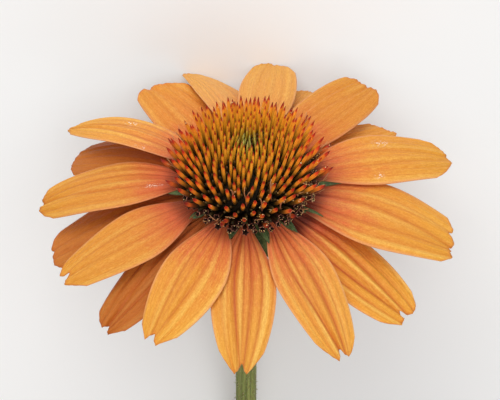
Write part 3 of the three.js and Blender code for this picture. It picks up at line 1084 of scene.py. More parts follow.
@dataclass(frozen=True)
class Corolla:
    """The whorl of petals around the disc.

    Attributes:
        hold: How far the bases run on into the receptacle.
        thickness: The petals' thickness at the middle; the edges are thinner.
        floor_gap: Height over the surface under which a petal's tip bends up to lie on it.
        floor_round: How gently it does so.
        steps: Grid lines along and across a petal.
        smooth: The share of a petal's length over which its relief grows from the base.
        line_width: How wide a groove's dark line grows towards the tip, as a share of the groove;
        this wide part is painted shade in the trough. At the base it is `line_slim` times slimmer.
        flutter: The wave of the petals' edges.
        ripples: The low ridges across a petal.
        crests: Where the painted highlights on the ridges between the grooves lie.
        shade: The dark of the base, painted shade of the disc over the base's own darker colour:
            shares, each with the places where it ends and is full.
        petals: The petals. Each row's nodes are numbered in their order.
    """

    head: HeadFrame = HeadFrame()
    root: float = 12.5
    hold: float = 1.3
    thickness: float = 0.36
    floor_gap: float = 0.45
    floor_round: float = 0.5
    steps: tuple[int, int] = (66, 79)
    smooth: float = 0.12
    line_width: float = 0.6
    line_slim: float = 3.2
    flutter: Ripple = Ripple(0.35, 1.5, 9.0)
    ripples: tuple[Ripple, Ripple] = (Ripple(0.07, 21.0), Ripple(0.05, 34.0, 3.0))
    crests: tuple[Ripple, Ripple] = (Ripple(0.5, 15.0), Ripple(0.5, 9.0, 1.0))
    shade: tuple[tuple[float, Pair], ...] = ((0.75, (0.22, 0.12)), (0.25, (0.4, 0.1)))
    finish: PetalFinish = PetalFinish()
    # Each petal begins with its azimuth, length, width, rise and fall.
    petals: tuple[Petal, ...] = (
        Petal(15, 42.5, 17.2, 12, -28, tip=0.54, widest=0.56, claw=0.2, tone=-0.05, blush=0.65,
            folds=0.35, notch=0.06, flecks=(Fleck(0.56, 0.55, 0.04, 0.11),
            Fleck(0.47, -0.72, 0.02, 0.08)),
            edge=((-1, 7.2), (-0.88, 5), (-0.72, 3), (-0.5, 1.4), (-0.25, 0.2), (0, 0.2), (0.12, 1.1),
            (0.22, 0.9), (0.5, 1.4), (0.75, 2.6), (0.9, 4.2), (1, 6.4))),
        Petal(33.6, 33.8, 13.4, 0, -18, Tier.LOWER, tone=0.15, blush=0.9, flush=0.1, folds=0.2,
            edge=((-1, 2.8), (-0.5, 0), (1, 5))),
        Petal(50.7, 36.9, 15.6, 8, -14, sweep=-3, tip=0.62, widest=0.54, claw=0.3, sides=(1.06, 1.04),
            tone=-0.33, blush=0.6, flush=0.08, folds=0.3, notch=-0.25,
            edge=((-1, 3.8), (-0.82, 1.4), (-0.55, 0), (-0.2, 0.1), (-0.1, 0.9), (0.1, 0.7), (0.2, 1.1),
            (0.6, 0.6), (1, 2.4))),
        Petal(67.6, 34.6, 14, -8, -20, Tier.LOWER, tone=0.4, blush=0.5, flush=0.05, folds=0.1,
            edge=((-1, 2.6), (-0.4, 0.3), (0, 0), (0.5, 0.3), (1, 2.6))),
        Petal(82, 40, 15.8, 2, -22, sweep=-1, lift=0.3, tip=0.52, widest=0.6, claw=0.14,
            sides=(1.0, 0.87), tone=0.45, folds=0.2, notch=-0.03,
            edge=((-1, 5.4), (-0.85, 2.9), (-0.62, 1.5), (-0.38, 2.2), (-0.27, 1.4), (-0.03, 1.9),
            (0.1, 0.7), (0.4, 0), (0.85, 1.8), (1, 3.8))),
        Petal(97, 40.5, 12.5, 2, -24, sweep=31, bank=20, lift=-0.5, tip=0.36, sides=(1.95, 0.76),
            tone=0.7, folds=0.1),
        Petal(121, 35.8, 15, 0, -12, Tier.LOWER, sweep=4, lift=-0.6, tip=0.55, sides=(1.55, 0.98),
            tone=-0.1, blush=0.9, flush=0.16, folds=0.35, notch=0.06,
            edge=((-1, 5.0), (-0.5, 1.6), (-0.08, 0.5), (0.06, 1.7), (0.22, 0.6), (0.5, 0.1),
            (0.8, 0.9), (1, 2.8))),
        Petal(146.7, 42.5, 14, 18, -36, sweep=12, bank=14, lift=-0.2, tip=0.14, tone=0.15, blush=0.5,
            folds=0.6, flecks=(Fleck(0.55, -0.45, 0.04, 0.12), Fleck(0.36, 0.85, 0.03, 0.1)),
            edge=((-1, 3.6), (-0.5, 1.2), (0, 0), (0.5, 1.2), (1, 3.6))),
        Petal(157.5, 36.5, 15, 3, -30, Tier.LOWER, sweep=6, lift=-0.2, tip=0.5, sides=(1.35, 1.0),
            tone=-0.92, blush=0.9, flush=0.12, folds=0.2),
        Petal(176, 40.3, 17, 6, -28, sweep=14, bank=4, widest=0.55, sides=(1.0, 0.93), tone=-0.28,
            blush=1.1, foot=0.75, folds=0.55, notch=-0.35, flecks=(Fleck(0.26, 0.35, 0.06, 0.1),),
            edge=((-1, 4.8), (-0.85, 2.6), (-0.6, 1.1), (-0.44, 0.9), (-0.36, 1.5), (0.1, 0.2),
            (0.34, 0), (0.8, 1.2), (1, 3.6))),
        Petal(194.6, 38.5, 14.4, -12, -20, Tier.LOWER, sweep=9, tip=0.58, sides=(1.56, 1.0), tone=-0.85,
            blush=0.9, flush=0.12, folds=0.4, notch=-0.4,
            edge=((-1, 5), (-0.85, 2.6), (-0.55, 0.8), (-0.4, 1.5), (-0.3, 0.5), (0.2, 0), (1, 3))),
        Petal(208.8, 38.8, 15.2, -2, -16, sweep=6, tip=0.36, tone=-0.26, blush=1.0, foot=0.8,
            folds=0.38, notch=-0.27,
            edge=((-1, 4), (-0.8, 1.5), (-0.62, 0.4), (-0.42, 1.1), (-0.27, 3), (-0.05, 1), (0.3, 0),
            (0.6, 1.2), (1, 4))),
        Petal(226.8, 38.6, 14.6, -12, -18, Tier.LOWER, sweep=2, tip=0.33, tone=-1.0, blush=0.6,
            notch=0.1,
            edge=((-1, 3.4), (-0.7, 1.4), (-0.25, 0.5), (0, 2.2), (0.18, 0.8), (0.6, 0), (1, 3.2))),
        Petal(245, 37, 15.6, -4, -18, sweep=-5, tip=0.3, claw=0.13, sides=(1.0, 1.06), tone=0.02,
            blush=0.45, foot=0.3, folds=0.6, notch=-0.1,
            edge=((-1, 3.6), (-0.62, 0.2), (-0.1, 2.7), (0.1, 0.9), (0.5, 0), (1, 3.8))),
        Petal(269, 39.3, 15.5, -6, -16, Tier.LOWER, sweep=-1, tip=0.3, claw=0.11, tone=0.15, blush=0.45,
            foot=0.1, notch=0.05,
            edge=((-1, 5.6), (-0.9, 3.6), (-0.74, 1.3), (-0.58, 0), (-0.2, 0.8), (0.05, 3), (0.24, 0.8),
            (0.55, 0), (0.72, 1.3), (0.9, 3.6), (1, 5.6))),
        Petal(297, 41, 15.6, -4, -18, sweep=-5, tip=0.3, claw=0.13, sides=(0.88, 1.0), tone=0.15,
            blush=0.6, foot=0.1, notch=0.25,
            edge=((-1, 6), (-0.85, 3.4), (-0.65, 1.3), (-0.42, 0), (-0.15, 1), (0.08, 3.2), (0.25, 1.6),
            (0.55, 0.5), (0.75, 1.1), (0.9, 2.6), (1, 4.6))),
        Petal(318.5, 39.5, 15.5, -11, -20, Tier.LOWER, sweep=3, tip=0.5, sides=(1.0, 1.2), blush=0.7,
            notch=0.1,
            edge=((-1, 4.6), (-0.88, 2.2), (-0.62, 0.2), (-0.1, 0.9), (0.08, 3.2), (0.2, 0.9),
            (0.38, 0.2), (0.66, 0.4), (0.86, 1.4), (1, 4))),
        Petal(342.8, 41, 19.5, 6, -24, sweep=3, lift=-0.2, tip=0.55, widest=0.5, claw=0.32,
            sides=(0.92, 1.2), tone=-0.05, blush=0.7, folds=0.62, notch=-0.14,
            edge=((-1, 2.6), (-0.74, 0), (-0.6, 0), (-0.42, 1), (-0.31, 0.5), (-0.14, 1.4),
            (-0.07, 0.5), (0.08, 0.3), (0.2, 0.5), (0.47, 2.6), (0.52, 1.2), (0.7, 1.4), (1, 3.2))),
    )

    def furrows(
        self, petal: Petal, s: Array, side: Array, rng: np.random.Generator
    ) -> tuple[Array, Array]:
        """How deep the grooves sink the surface, and how dark they are.

        A groove sinks it by depth * bell(distance / half width). Its dark line is a mix of that
        bell, which paints shade in the trough, and a slimmer one, the vein's own dark, and the wide
        bell's share grows towards the tip.

        Args:
            petal: The petal's sizes.
            s: Places along the petal.
            side: Places across it.
            rng: Where the grooves' small shifts are drawn from.

        Returns:
            The depth in millimetres and the darkness from 0 to 1, at each place.
        """
        sink, stain = np.zeros_like(s), np.zeros_like(s)
        wide = self.line_width * fade(s, 0, 0.6)
        for groove in petal.grooves(rng):
            middle = between((groove.side, groove.tip_side), s.clip(0) ** 2.5)
            far = (side - middle) / groove.width
            sink = sink + groove.depth * bell(far)
            line = wide * bell(far) + (1 - wide) * bell(self.line_slim * far)
            stain = np.maximum(stain, groove.stain * line)
        return sink, stain

    def off_floor(self, points: Array) -> Array:
        """Lifts points off the surface.

        A point at height z rises by (sqrt((z - gap)^2 + round^2) - (z - gap)) / 2, so that no tip
        goes into the surface.

        Args:
            points: Points in the part's frame.

        Returns:
            How far each point moves.
        """
        over = points[..., 2] - self.floor_gap
        raised = (np.hypot(over, self.floor_round) - over) / 2
        return raised[..., None] * np.array([0.0, 0.0, 1.0])

    def shape(self, petal: Petal, number: int) -> Shape:
        """Works out one petal.

        A grid line u along the petal stands at s = u * reach(side), so that the last one draws
        the tip's edge.

        Args:
            petal: The petal's sizes.
            number: Its place in the whorl, which seeds what varies.

        Returns:
            The closed petal.
        """
        rng = np.random.default_rng(700 + number)
        blade = petal.blade(self.root)
        u, side = blade.grid(self.hold, self.steps)
        s = np.where(u > 0, u * petal.reach(side), u)
        sink, stain = self.furrows(petal, s, side, rng)
        phase = rng.uniform(0, 2 * np.pi, 3)
        ridge_highlight = sum(wave.over(side, s, phase[way]) for wave, way in zip(self.crests, (1, 0)))
        ridges = sum(wave.over(side, s, phase[way]) for wave, way in zip(self.ripples, (1, 2)))
        flutter = self.flutter.over(side, s, phase[0]) * np.abs(side) ** 3
        shown = fade(s, 0, self.smooth)
        height = shown * (flutter + ridges - sink)
        thin = half_thickness(self.thickness, s, side, edge=(0.7, 6), tip=(0.6, 14))
        spread = petal.stretch(side)
        raised = self.off_floor(self.head.points(blade.surface(s, spread, height)))
        top = self.head.points(blade.surface(s, spread, height + thin)) + raised
        under = self.head.points(blade.surface(s, spread, height - thin)) + raised
        fleck = np.zeros_like(s)
        for patch in petal.flecks:
            far = np.hypot((s - patch.along) / patch.length, (side - patch.side) / patch.width)
            fleck = np.maximum(fleck, bell(far))
        values = {
            "along": s.clip(0, 1),
            "groove": stain * shown * (1 - (1 - petal.folds) * fade(s, 0, 0.3)),
            # Painted highlight on the ridges between the grooves.
            "ridge_highlight": ease(1.4 * ridge_highlight) * (1 - stain) * fade(s, 0, 0.4) * (0.3 + petal.folds),
            # Painted highlight along the edges, fading out towards the tip.
            "edge": fade(np.abs(side), 0.9, 1) * fade(s, 1.1, 0.7),
            "blush": petal.blush * fade(s, 0.5, 0) + 0.3 * fade(u, 0.97, 1) + petal.flush,
            # Painted shade of the disc on the base, over the base's own darker colour.
            "foot": petal.foot * sum(share * fade(s, *ends) for share, ends in self.shade),
            # Per-petal tone, which also carries painted shade and painted light.
            "tone": np.full_like(s, petal.tone),
            "fleck": fleck,
        }
        uv = np.stack([side * petal.width / 2 + 40 * number, s * petal.length], -1)
        return closed_sheet(top, under, values, uv)

    def build(self) -> list[Piece]:
        """Makes the petals.

        Returns:
            One piece for each petal.
        """
        material = self.finish.material()
        pieces, count = [], Counter()
        for number, petal in enumerate(self.petals):
            count[petal.tier] += 1
            name = f"{petal.tier.name.lower()}_{count[petal.tier]}"
            shape, nodes = self.shape(petal, number), [f"petal_{name}"]
            pieces.append(make_piece(f"ray_{name}", shape, material, nodes))
        return pieces


@dataclass(frozen=True)
class Dome:
    """The domed top of the receptacle, which reaches down to `edge` degrees from its top."""

    radius: float = 12.6
    centre: float = 4.2
    height: float = 7.2
    edge: float = 106.0

    def profile(self, angle: Array, out: float = 0.0) -> tuple[Array, Array]:
        """The distance from the axis and the height at degrees from the top, `out` off the dome."""
        turn = np.radians(angle)
        return (self.radius + out) * np.sin(turn), self.centre + (self.height + out) * np.cos(turn)


@dataclass(frozen=True)
class Standing:
    """The spines that stand, with one value for each spine in every field.

    Each grows in `row`, in degrees, at `azimuth`, in radians. Its tip leans to the row `leaning`,
    and the whole spine turns to the azimuth `turned`.
    `front` is 1 at the camera's side of the flower, and `length` is a share of the plain length.
    """

    row: Array
    azimuth: Array
    front: Array
    leaning: Array
    turned: Array
    length: Array
    tone: Array


@dataclass(frozen=True)
class SpineCone:
    """The cone of spines, in the head's frame.

    A spine's row is the angle of its tip above the cone's widest row, whose radius and centre are
    given, so the top is at 90. The camera's side of the flower is its front, `turn` is the azimuth
    that the spiral starts at, and a spine's rings are at `places` along it.

    Attributes:
        taper: Power that draws the tips in below the widest row.
        crowding: Power that crowds the roots towards the dome's edge.
        seat: How deep the roots stand in the dome.
        spacing: Distance between neighbours at the top and in the lowest row.
        thickness: Radius of a spine at the top and in the widest row.
        growth: Power of the share by which both go from the first value to the second.
        bow: How far the bend stands out, as a share of the spine, in the upper and low rows.
        dimple: How far the tips at the top sink.
        inward: The share by which the tips at the top draw in towards the axis.
        tuck: The share by which the lowest tips do.
        lean: How far all tips lean towards u.
        bare: The share of the spines that is missing in the low rows.
        last: The last row with spines at the front, and how many degrees sooner they end behind.
        jitter: Spread of the tips' rows, in degrees, of their turns, in radians, and of lengths.
        flank: The share by which the low spines at the two sides are longer.
        keel: The share by which its outer edge stands out.
        outline: Places along a spine with its radius there as a share.
        ring_rows: The rows that part the pieces.
        inward_rows, bow_rows, bare_rows, flank_rows, green_rows, bud_rows, ripe_rows: The rows where
            each of these begins and is full; the last three are of a spine's colours.
        old_rows: The same for the painted shade of its low rows, at the front and elsewhere.
    """

    head: HeadFrame = HeadFrame()
    dome: Dome = Dome()
    radius: float = 20.6
    centre: float = 8.5
    height: float = 10.7
    taper: float = 0.6
    lowest: float = -42.0
    crowding: float = 2.1
    seat: float = 0.3
    spacing: Pair = (0.7, 4.0)
    thickness: Pair = (0.15, 0.57)
    growth: float = 0.5
    bow: Pair = (0.1, 0.36)
    dimple: float = 2.6
    inward: float = 0.45
    tuck: float = 0.08
    lean: float = 0.6
    bare: float = 0.8
    last: Pair = (-10.0, 16.0)
    jitter: Point = (0.9, 0.022, 0.045)
    flank: float = 0.12
    turn: float = 0.4
    sides: int = 6
    keel: float = 0.1
    outline: Edge = (
        (0, 0.8), (0.3, 0.9), (0.6, 1), (0.84, 0.96), (0.9, 0.8), (0.94, 0.5), (0.975, 0.24), (1, 0),
    )
    places: tuple[float, ...] = (0.0, 0.001, 0.3, 0.55, 0.84, 0.9, 0.94, 0.975, 1.0)
    ring_rows: tuple[float, ...] = (73.0, 55.0, 37.0, 5.0)
    inward_rows: Pair = (72.0, 86.0)
    bow_rows: Pair = (60.0, 0.0)
    bare_rows: Pair = (24.0, -2.0)
    flank_rows: Pair = (22.0, 6.0)
    green_rows: Pair = (72.0, 84.0)
    bud_rows: Pair = (79.0, 84.0)
    ripe_rows: Pair = (78.0, 36.0)
    old_rows: tuple[Pair, Pair] = ((30.0, 4.0), (28.0, 8.0))
    finish: SpineFinish = SpineFinish()

    def gap(self, row: Array) -> Array:
        """The distance between neighbours in each row."""
        return between(self.spacing, ((90 - row) / (90 - self.lowest)) ** self.growth)

    def girth(self, row: Array) -> Array:
        """The radius of the spines in each row, which grows from the top to the widest row."""
        return between(self.thickness, ((90 - row) / 90).clip(0, 1) ** self.growth)

    def layout(self) -> tuple[Array, Array]:
        """Spreads places for spines over the cone.

        Their number within a row is its area divided by the room of one spine, which is that of a
        hexagon with the row's spacing. Each next one stands a golden angle further round.

        Returns:
            The rows and the azimuths, in degrees and radians, from the top down.
        """
        row = np.linspace(90, self.lowest, 600)
        radius, height = self.tip(row)
        width = np.hypot(np.gradient(radius), np.gradient(height))
        total = np.cumsum(2 * np.pi * radius * width / (HEXAGON * self.gap(row) ** 2))
        number = np.arange(int(total[-1]))
        return np.interp(number + 0.5, total, row), number * GOLDEN_ANGLE + self.turn

    def tip(self, row: Array) -> tuple[Array, Array]:
        """The distance from the axis and the height of the tips in a row.

        They follow an ellipse. At the top it sinks by a bell curve and draws in towards the axis,
        because the young spines there are short and bend inwards. Below the widest row the spines
        are short again, and their tips draw in too.

        Args:
            row: The rows.

        Returns:
            The distances and the heights.
        """
        angle = np.radians(row)
        spread = np.cos(angle).clip(0) ** np.where(row < 0, self.taper, 1.0)
        young = 1 - self.inward * fade(row, *self.inward_rows)
        low = 1 - self.tuck * fade(row, 14, self.lowest)
        sunk = self.dimple * bell((90 - row) / 10)
        return self.radius * spread * young * low, self.centre + self.height * np.sin(angle) - sunk

    def root_angle(self, row: Array) -> Array:
        """Degrees from the dome's top to the roots of a row: edge * (1 - share^crowding)."""
        share = ((row - self.lowest) / (90 - self.lowest)).clip(0, 1)
        return self.dome.edge * (1 - share**self.crowding)

    def stalk(self, row: Array, azimuth: Array, t: Array, length: Array | float = 1.0) -> Array:
        """Points along spines, or along what grows between them.

        Each is a quadratic Bezier curve that leaves the dome squarely.

        Args:
            row: Each spine's row.
            azimuth: Each spine's azimuth in radians.
            t: Places along the spine, from 0 at the root to 1 at the tip.
            length: A share to lengthen or shorten each spine by.

        Returns:
            The points in the head's frame, as spines x places x 3.
        """
        angle = self.root_angle(row)
        root = np.stack(self.dome.profile(angle, -self.seat), -1)
        reach = np.stack(self.tip(row), -1) - root
        turn = np.radians(angle)
        out = np.hypot(reach[:, 0], reach[:, 1]) * between(self.bow, fade(row, *self.bow_rows))
        bend = root + out[:, None] * np.stack([np.sin(turn), np.cos(turn)], -1)
        tip = root + reach * np.reshape(length, (-1, 1))
        share = np.broadcast_to(t, (len(row), np.shape(t)[-1]))[..., None]
        first, second, third = (1 - share) ** 2, 2 * share * (1 - share), share**2
        curve = first * root[:, None] + second * bend[:, None] + third * tip[:, None]
        radius, height = curve[..., 0], curve[..., 1]
        x = radius * np.cos(azimuth)[:, None] + self.lean * share[..., 0]
        return np.stack([x, radius * np.sin(azimuth)[:, None], height], -1)

    def standing(self) -> Standing:
        """Chooses the spines that stand, and gives each its own small lean and length.

        Returns:
            The spines.
        """
        row, azimuth = self.layout()
        rng = np.random.default_rng(11)
        front = fade(-np.sin(azimuth), 0.3, 0.9)
        last = self.last[0] + (1 - front) * self.last[1]
        missing = rng.random(len(row)) <= self.bare * fade(row, *self.bare_rows)
        kept = ~missing & (row > last)
        row, azimuth = row[kept], azimuth[kept]
        tilt = rng.normal(0, 1, (3, len(row)))
        loose = ((90 - row) / 60).clip(0, 1)
        flank = fade(np.abs(np.cos(azimuth)), 0.5, 0.9) * fade(row, *self.flank_rows)
        return Standing(
            row, azimuth, front[kept],
            leaning=(row + self.jitter[0] * tilt[0] * loose).clip(self.last[0], 90),
            turned=azimuth + self.jitter[1] * tilt[1] * loose,
            length=1 + self.jitter[2] * tilt[2] + self.flank * flank,
            tone=rng.uniform(-1, 1, len(row)),
        )

    def spines(self) -> tuple[Array, Shape]:
        """Works out all the spines.

        Returns:
            Each spine's row, and the spines as one shape.
        """
        stand = self.standing()
        row, t = stand.row, np.array(self.places)
        paths = self.stalk(stand.leaning, stand.turned, t, stand.length)
        radii = self.girth(row)[:, None] * np.interp(t, *np.array(self.outline).T)
        turn = 2 * np.pi * np.arange(self.sides) / self.sides
        keel = 1 + self.keel * np.cos(turn - np.pi / 2)
        # Painted shade on the low spines: full at the two sides, over other rows at the front, and
        # little at the back.
        back = fade(np.sin(stand.azimuth), 0.1, 0.7)
        elsewhere = 1 - stand.front - 0.8 * back
        ahead, beside = self.old_rows
        single = {
            "green": fade(row, *self.green_rows),
            "ripe": fade(row, *self.ripe_rows) * (1 - 0.7 * back),
            "old": stand.front * fade(row, *ahead) + elsewhere * fade(row, *beside),
            "bud": fade(row, *self.bud_rows),
            "tone": stand.tone,
        }
        values = {name: np.repeat(value[:, None], len(t), 1) for name, value in single.items()}
        values["along"] = np.tile(t, (len(row), 1))
        shape = rods(paths, radii[..., None] * keel, level(stand.turned), values)
        return row, self.head.place(shape)

    def build(self) -> list[Piece]:
        """Makes the spines, one piece for each packed ring of florets.

        Returns:
            The pieces.
        """
        row, shape = self.spines()
        size = len(shape.points) // len(row)
        material = self.finish.material()
        edges = (91.0, *self.ring_rows, -91.0)
        pieces = []
        for number, (top, bottom) in enumerate(zip(edges, edges[1:]), start=1):
            chosen = np.repeat((row <= top) & (row > bottom), size)
            renumber = np.cumsum(chosen) - 1
            part = Shape(
                shape.points[chosen],
                renumber[shape.quads[chosen[shape.quads[:, 0]]]],
                renumber[shape.triangles[chosen[shape.triangles[:, 0]]]],
                {key: value[chosen] for key, value in shape.values.items()},
            )
            node = f"floret_ring_{number}"
            pieces.append(make_piece(f"spines_{number}", part, material, [node]))
        return pieces


@dataclass(frozen=True)
class Thread:
    """A style of its own place: its foot, its fork and the two points that each arm bends to."""

    foot: Point
    fork: Point
    left: tuple[Point, Point]
    right: tuple[Point, Point]

    def lines(self, samples: int) -> list[Array]:
        """The thread's two smooth lines, one through each arm."""
        arms = (self.left, self.right)
        return [smooth_line(np.array([self.foot, self.fork, *arm]), samples) for arm in arms]


@dataclass(frozen=True)
class DiscFlorets:
    """The small florets between the spines, their styles and their pollen.

    Attributes:
        above: How far a floret stands above its spine, in half spacings.
        aside: How far it stands aside, in radians, and how much further in the low rows.
        open_below: The row under which florets are open, with five lobes around a dark throat.
        bud_profile: Rings of a bud: places along it, and its radius there.
        bud_reach: How long a bud is, as a share of its spine.
        open_reach: How long an open floret is in the upper and the lowest rows, as such a share.
        sides_in: How much shorter it is at the two sides of the flower.
        star_profile: Rings of an open floret: the share of the way from its root to its top, how
            far it stands out beyond, its radius and its shade.
        lobed: The rings whose radius is a share of the lobe's.
        lobe: The radius over the lobes, and the share of it that lies between two.
        grains: How many pollen grains sit on the spines, and as many on the open florets.
        sunny: The azimuth around which most of them are, in degrees.
        threads: The styles of their own place.
    """

    cone: SpineCone = SpineCone()
    above: float = 1.2
    aside: Pair = (0.03, 0.09)
    open_below: float = 10.0
    bud_profile: Edge = ((0.0, 0.0), (0.01, 0.36), (0.5, 0.42), (0.85, 0.34), (1.0, 0.0))
    bud_reach: float = 0.52
    open_reach: Pair = (0.6, 0.92)
    sides_in: float = 0.2
    star_profile: tuple[tuple[float, float, float, float], ...] = (
        (0.0, 0.0, 0.0, 0.0), (0.02, 0.0, 0.4, 0.0), (0.55, 0.0, 0.44, 0.3), (1.0, 0.0, 0.5, 0.6),
        (1.06, 0.35, 1.0, 1.0), (1.05, 0.32, 0.8, 0.4), (0.96, 0.1, 0.3, 0.2), (0.8, 0.0, 0.0, 0.0),
    )
    lobed: tuple[int, ...] = (4, 5)
    lobe: Pair = (0.95, 0.64)
    styles: int = 30
    grains: int = 200
    sunny: float = -38.0
    threads: tuple[Thread, ...] = (
        Thread((0.15, -15.0, 9.2), (0.0, -14.5, 11.2), ((-0.4, -14.0, 12.8), (-0.25, -13.5, 14.5)),
               ((0.8, -13.8, 13.0), (1.3, -13.6, 12.2))),
        Thread((5.9, -15.0, 11.0), (5.7, -14.0, 14.0), ((5.7, -13.4, 15.6), (5.9, -13.0, 16.8)),
               ((6.1, -13.4, 15.4), (6.5, -13.5, 15.6))),
        Thread((3.8, -16.0, 8.5), (3.7, -15.6, 10.2), ((3.5, -15.2, 11.8), (3.1, -15.0, 12.2)),
               ((4.1, -15.2, 11.4), (4.5, -15.4, 11.4))),
        Thread((8.0, -15.0, 8.2), (8.1, -14.5, 9.4), ((7.7, -14.0, 10.3), (7.2, -13.9, 10.4)),
               ((8.6, -14.2, 10.2), (9.1, -14.3, 9.8))),
        Thread((10.4, -15.5, 5.8), (10.4, -15.0, 6.9), ((9.8, -14.8, 7.6), (9.3, -15.2, 7.4)),
               ((11.0, -14.8, 7.7), (11.5, -15.2, 7.7))),
        Thread((-3.2, -15.0, 10.5), (-3.1, -14.4, 12.3), ((-3.3, -13.9, 13.6), (-3.7, -14.0, 14)),
               ((-2.7, -14.0, 13.4), (-2.3, -14.3, 13.5))),
        Thread((13.5, -10.0, 9.5), (14.0, -10.0, 11.0), ((13.8, -10.0, 12.0), (13.3, -10.1, 12)),
               ((14.6, -10.1, 11.8), (15.1, -10.4, 11.6))),
    )
    bud_finish: PlainFinish = PlainFinish(
        "floret",
        ((0.0, srgb(36, 26, 10)), (0.5, srgb(66, 50, 20)), (0.85, srgb(92, 70, 30)),
         (1.0, srgb(110, 82, 44))),
    )
    open_finish: PlainFinish = PlainFinish(
        "open_floret",
        ((0.0, srgb(22, 14, 10)), (0.5, srgb(52, 28, 20)), (0.8, srgb(96, 52, 40)),
         (1.0, srgb(214, 148, 124))),
        rough=(0.75, 0.95),
        gloss=Gloss(specular=0.08),
    )
    style_finish: PlainFinish = PlainFinish(
        "style", ((0.0, srgb(92, 50, 32)), (0.4, srgb(168, 100, 64)), (1.0, srgb(216, 164, 110)))
    )
    grain_finish: PlainFinish = PlainFinish(
        "pollen", ((0.0, srgb(224, 172, 90)), (1.0, srgb(254, 232, 172))), rough=(0.6, 0.8)
    )

    def places(self) -> tuple[Array, Array]:
        """Works out where the florets stand, each by a place for a spine.

        Returns:
            Their rows in degrees and their azimuths in radians.
        """
        row, azimuth = self.cone.layout()
        higher = np.degrees(self.cone.gap(row) / 2 / self.cone.radius) * self.above
        return (row + higher).clip(max=90), azimuth + self.aside[0]

    def buds(self) -> Shape:
        """The closed florets: short rods with rounded tops, which are larger in the low rows.

        Returns:
            The buds as one shape.
        """
        row, azimuth = self.places()
        row, azimuth = row[row < 89], azimuth[row < 89]
        low = fade(row, self.open_below, self.open_below - 10)
        azimuth = azimuth + self.aside[1] * low
        t, girth = np.array(self.bud_profile).T
        paths = self.cone.stalk(row, azimuth, t * self.bud_reach, 1 + 0.3 * low)
        radii = np.repeat((girth * (1 + 0.5 * low[:, None]))[..., None], 5, -1)
        shape = rods(paths, radii, level(azimuth), {"along": t * (1 - 0.6 * low[:, None])})
        return self.cone.head.place(shape)

    def openings(self) -> tuple[Array, Array, Array, Array, Array]:
        """Where the open florets stand.

        Returns:
            Their azimuths, roots, tops, the directions that they open in, and their lobes' radii.
        """
        row, azimuth = self.places()
        keep = row <= self.open_below
        row, azimuth = row[keep], azimuth[keep]
        count = len(row)
        rng = np.random.default_rng(23)
        reach = between(self.open_reach, fade(row, 4, -20)) + rng.uniform(-0.05, 0.05, count)
        reach = reach - self.sides_in * fade(np.abs(np.cos(azimuth)), 0.4, 0.8)
        ends = self.cone.stalk(row, azimuth, np.stack([0 * reach, reach, reach + 0.05], -1))
        along = unit(ends[:, 2] - ends[:, 1])
        lobe = rng.uniform(0.75, 1.1, count) * self.lobe[0]
        return azimuth, ends[:, 0], ends[:, 1], along, lobe

    def stars(self) -> Shape:
        """The open florets: tubes that widen into five lobes and turn back into a throat.

        The profile runs up the tube, out to a rim whose radius goes in and out five times, and
        back down into the throat.

        Returns:
            The open florets as one shape.
        """
        azimuth, root, top, along, lobe = self.openings()
        rise, beyond, girth, shade = np.array(self.star_profile).T
        paths = root[:, None] + (top - root)[:, None] * rise[:, None]
        paths = paths + along[:, None] * beyond[:, None]
        radii = np.tile(girth[None, :, None], (len(azimuth), 1, 10))
        points = lobe[:, None] * np.where(np.arange(10) % 2 == 0, 1.0, self.lobe[1])
        for ring in self.lobed:
            radii[:, ring] = points * girth[ring]
        values = {"along": np.tile(shade, (len(azimuth), 1))}
        return self.cone.head.place(rods(paths, radii, level(azimuth), values, along))

    def style_rods(self) -> Shape:
        """The styles: threads that rise from a floret and fork into two curled arms.

        An arm follows the floret's own line up to the fork, and bends sideways and droops beyond
        it, by amounts that differ from style to style.

        Returns:
            The styles as one shape.
        """
        rng = np.random.default_rng(5)
        row, azimuth = self.places()
        chosen = rng.choice(np.flatnonzero((row < 24) & (row > -30)), self.styles, replace=False)
        row, azimuth = np.repeat(row[chosen], 2), np.repeat(azimuth[chosen], 2)
        count = len(row)
        t = np.linspace(0, 1, 12)
        tall = np.repeat(rng.uniform(0.75, 1.15, self.styles), 2)
        line = self.cone.stalk(row, azimuth, 0.4 + t * 0.6, tall)
        curl = np.tile([1.0, -1.0], self.styles) * rng.uniform(0.5, 1.6, count)
        past = fade(t, 0.45, 1)[None] * t[None] ** 2
        side, out = level(azimuth), unit(line[:, -1] - line[:, 0])
        drop = rng.uniform(0.0, 1.2, count)
        line = line + side[:, None] * (curl[:, None] * past)[..., None]
        line = line - out[:, None] * (drop[:, None] * past**2)[..., None]
        sway = rng.normal(0, 0.35, (count // 2, 3)).repeat(2, axis=0)
        line = line + sway[:, None] * np.sin(np.pi * t)[None, :, None]
        own = np.array([each for thread in self.threads for each in thread.lines(len(t))])
        line, side = np.vstack([line, own]), np.vstack([side, np.tile([1.0, 0, 0], (len(own), 1))])
        girth = np.repeat([0.13, 0.17], [count, len(own)])[:, None] * (1 - 0.4 * t)
        values = {"along": np.broadcast_to(t, girth.shape)}
        return self.cone.head.place(rods(line, np.repeat(girth[..., None], 5, -1), side, values))

    def on_spines(self, rng: np.random.Generator) -> tuple[Array, Array, Array]:
        """Places for pollen on the spines, most of them on the lower rows.

        Args:
            rng: Where the places are drawn from.

        Returns:
            The grains' middles, the directions out of the spines, and those along them.
        """
        stand = self.cone.standing()
        lit = np.cos(stand.turned - math.radians(self.sunny)).clip(0)
        weight = bell((stand.row - 8) / 20) * (0.15 + lit**2)
        chosen = rng.choice(len(stand.row), self.grains, p=weight / weight.sum())
        row, azimuth, length = stand.leaning[chosen], stand.turned[chosen], stand.length[chosen]
        place = rng.uniform(0.45, 0.98, self.grains)
        line = self.cone.stalk(row, azimuth, np.stack([place, place + 0.02], -1), length)
        ahead = unit(line[:, 1] - line[:, 0])
        out = around(ahead, level(azimuth), rng.uniform(0, np.pi, self.grains))
        far = self.cone.girth(row) * (1 - place**5) ** 0.75 * rng.uniform(1.0, 1.3, self.grains)
        return line[:, 0] + out * far[:, None], out, ahead

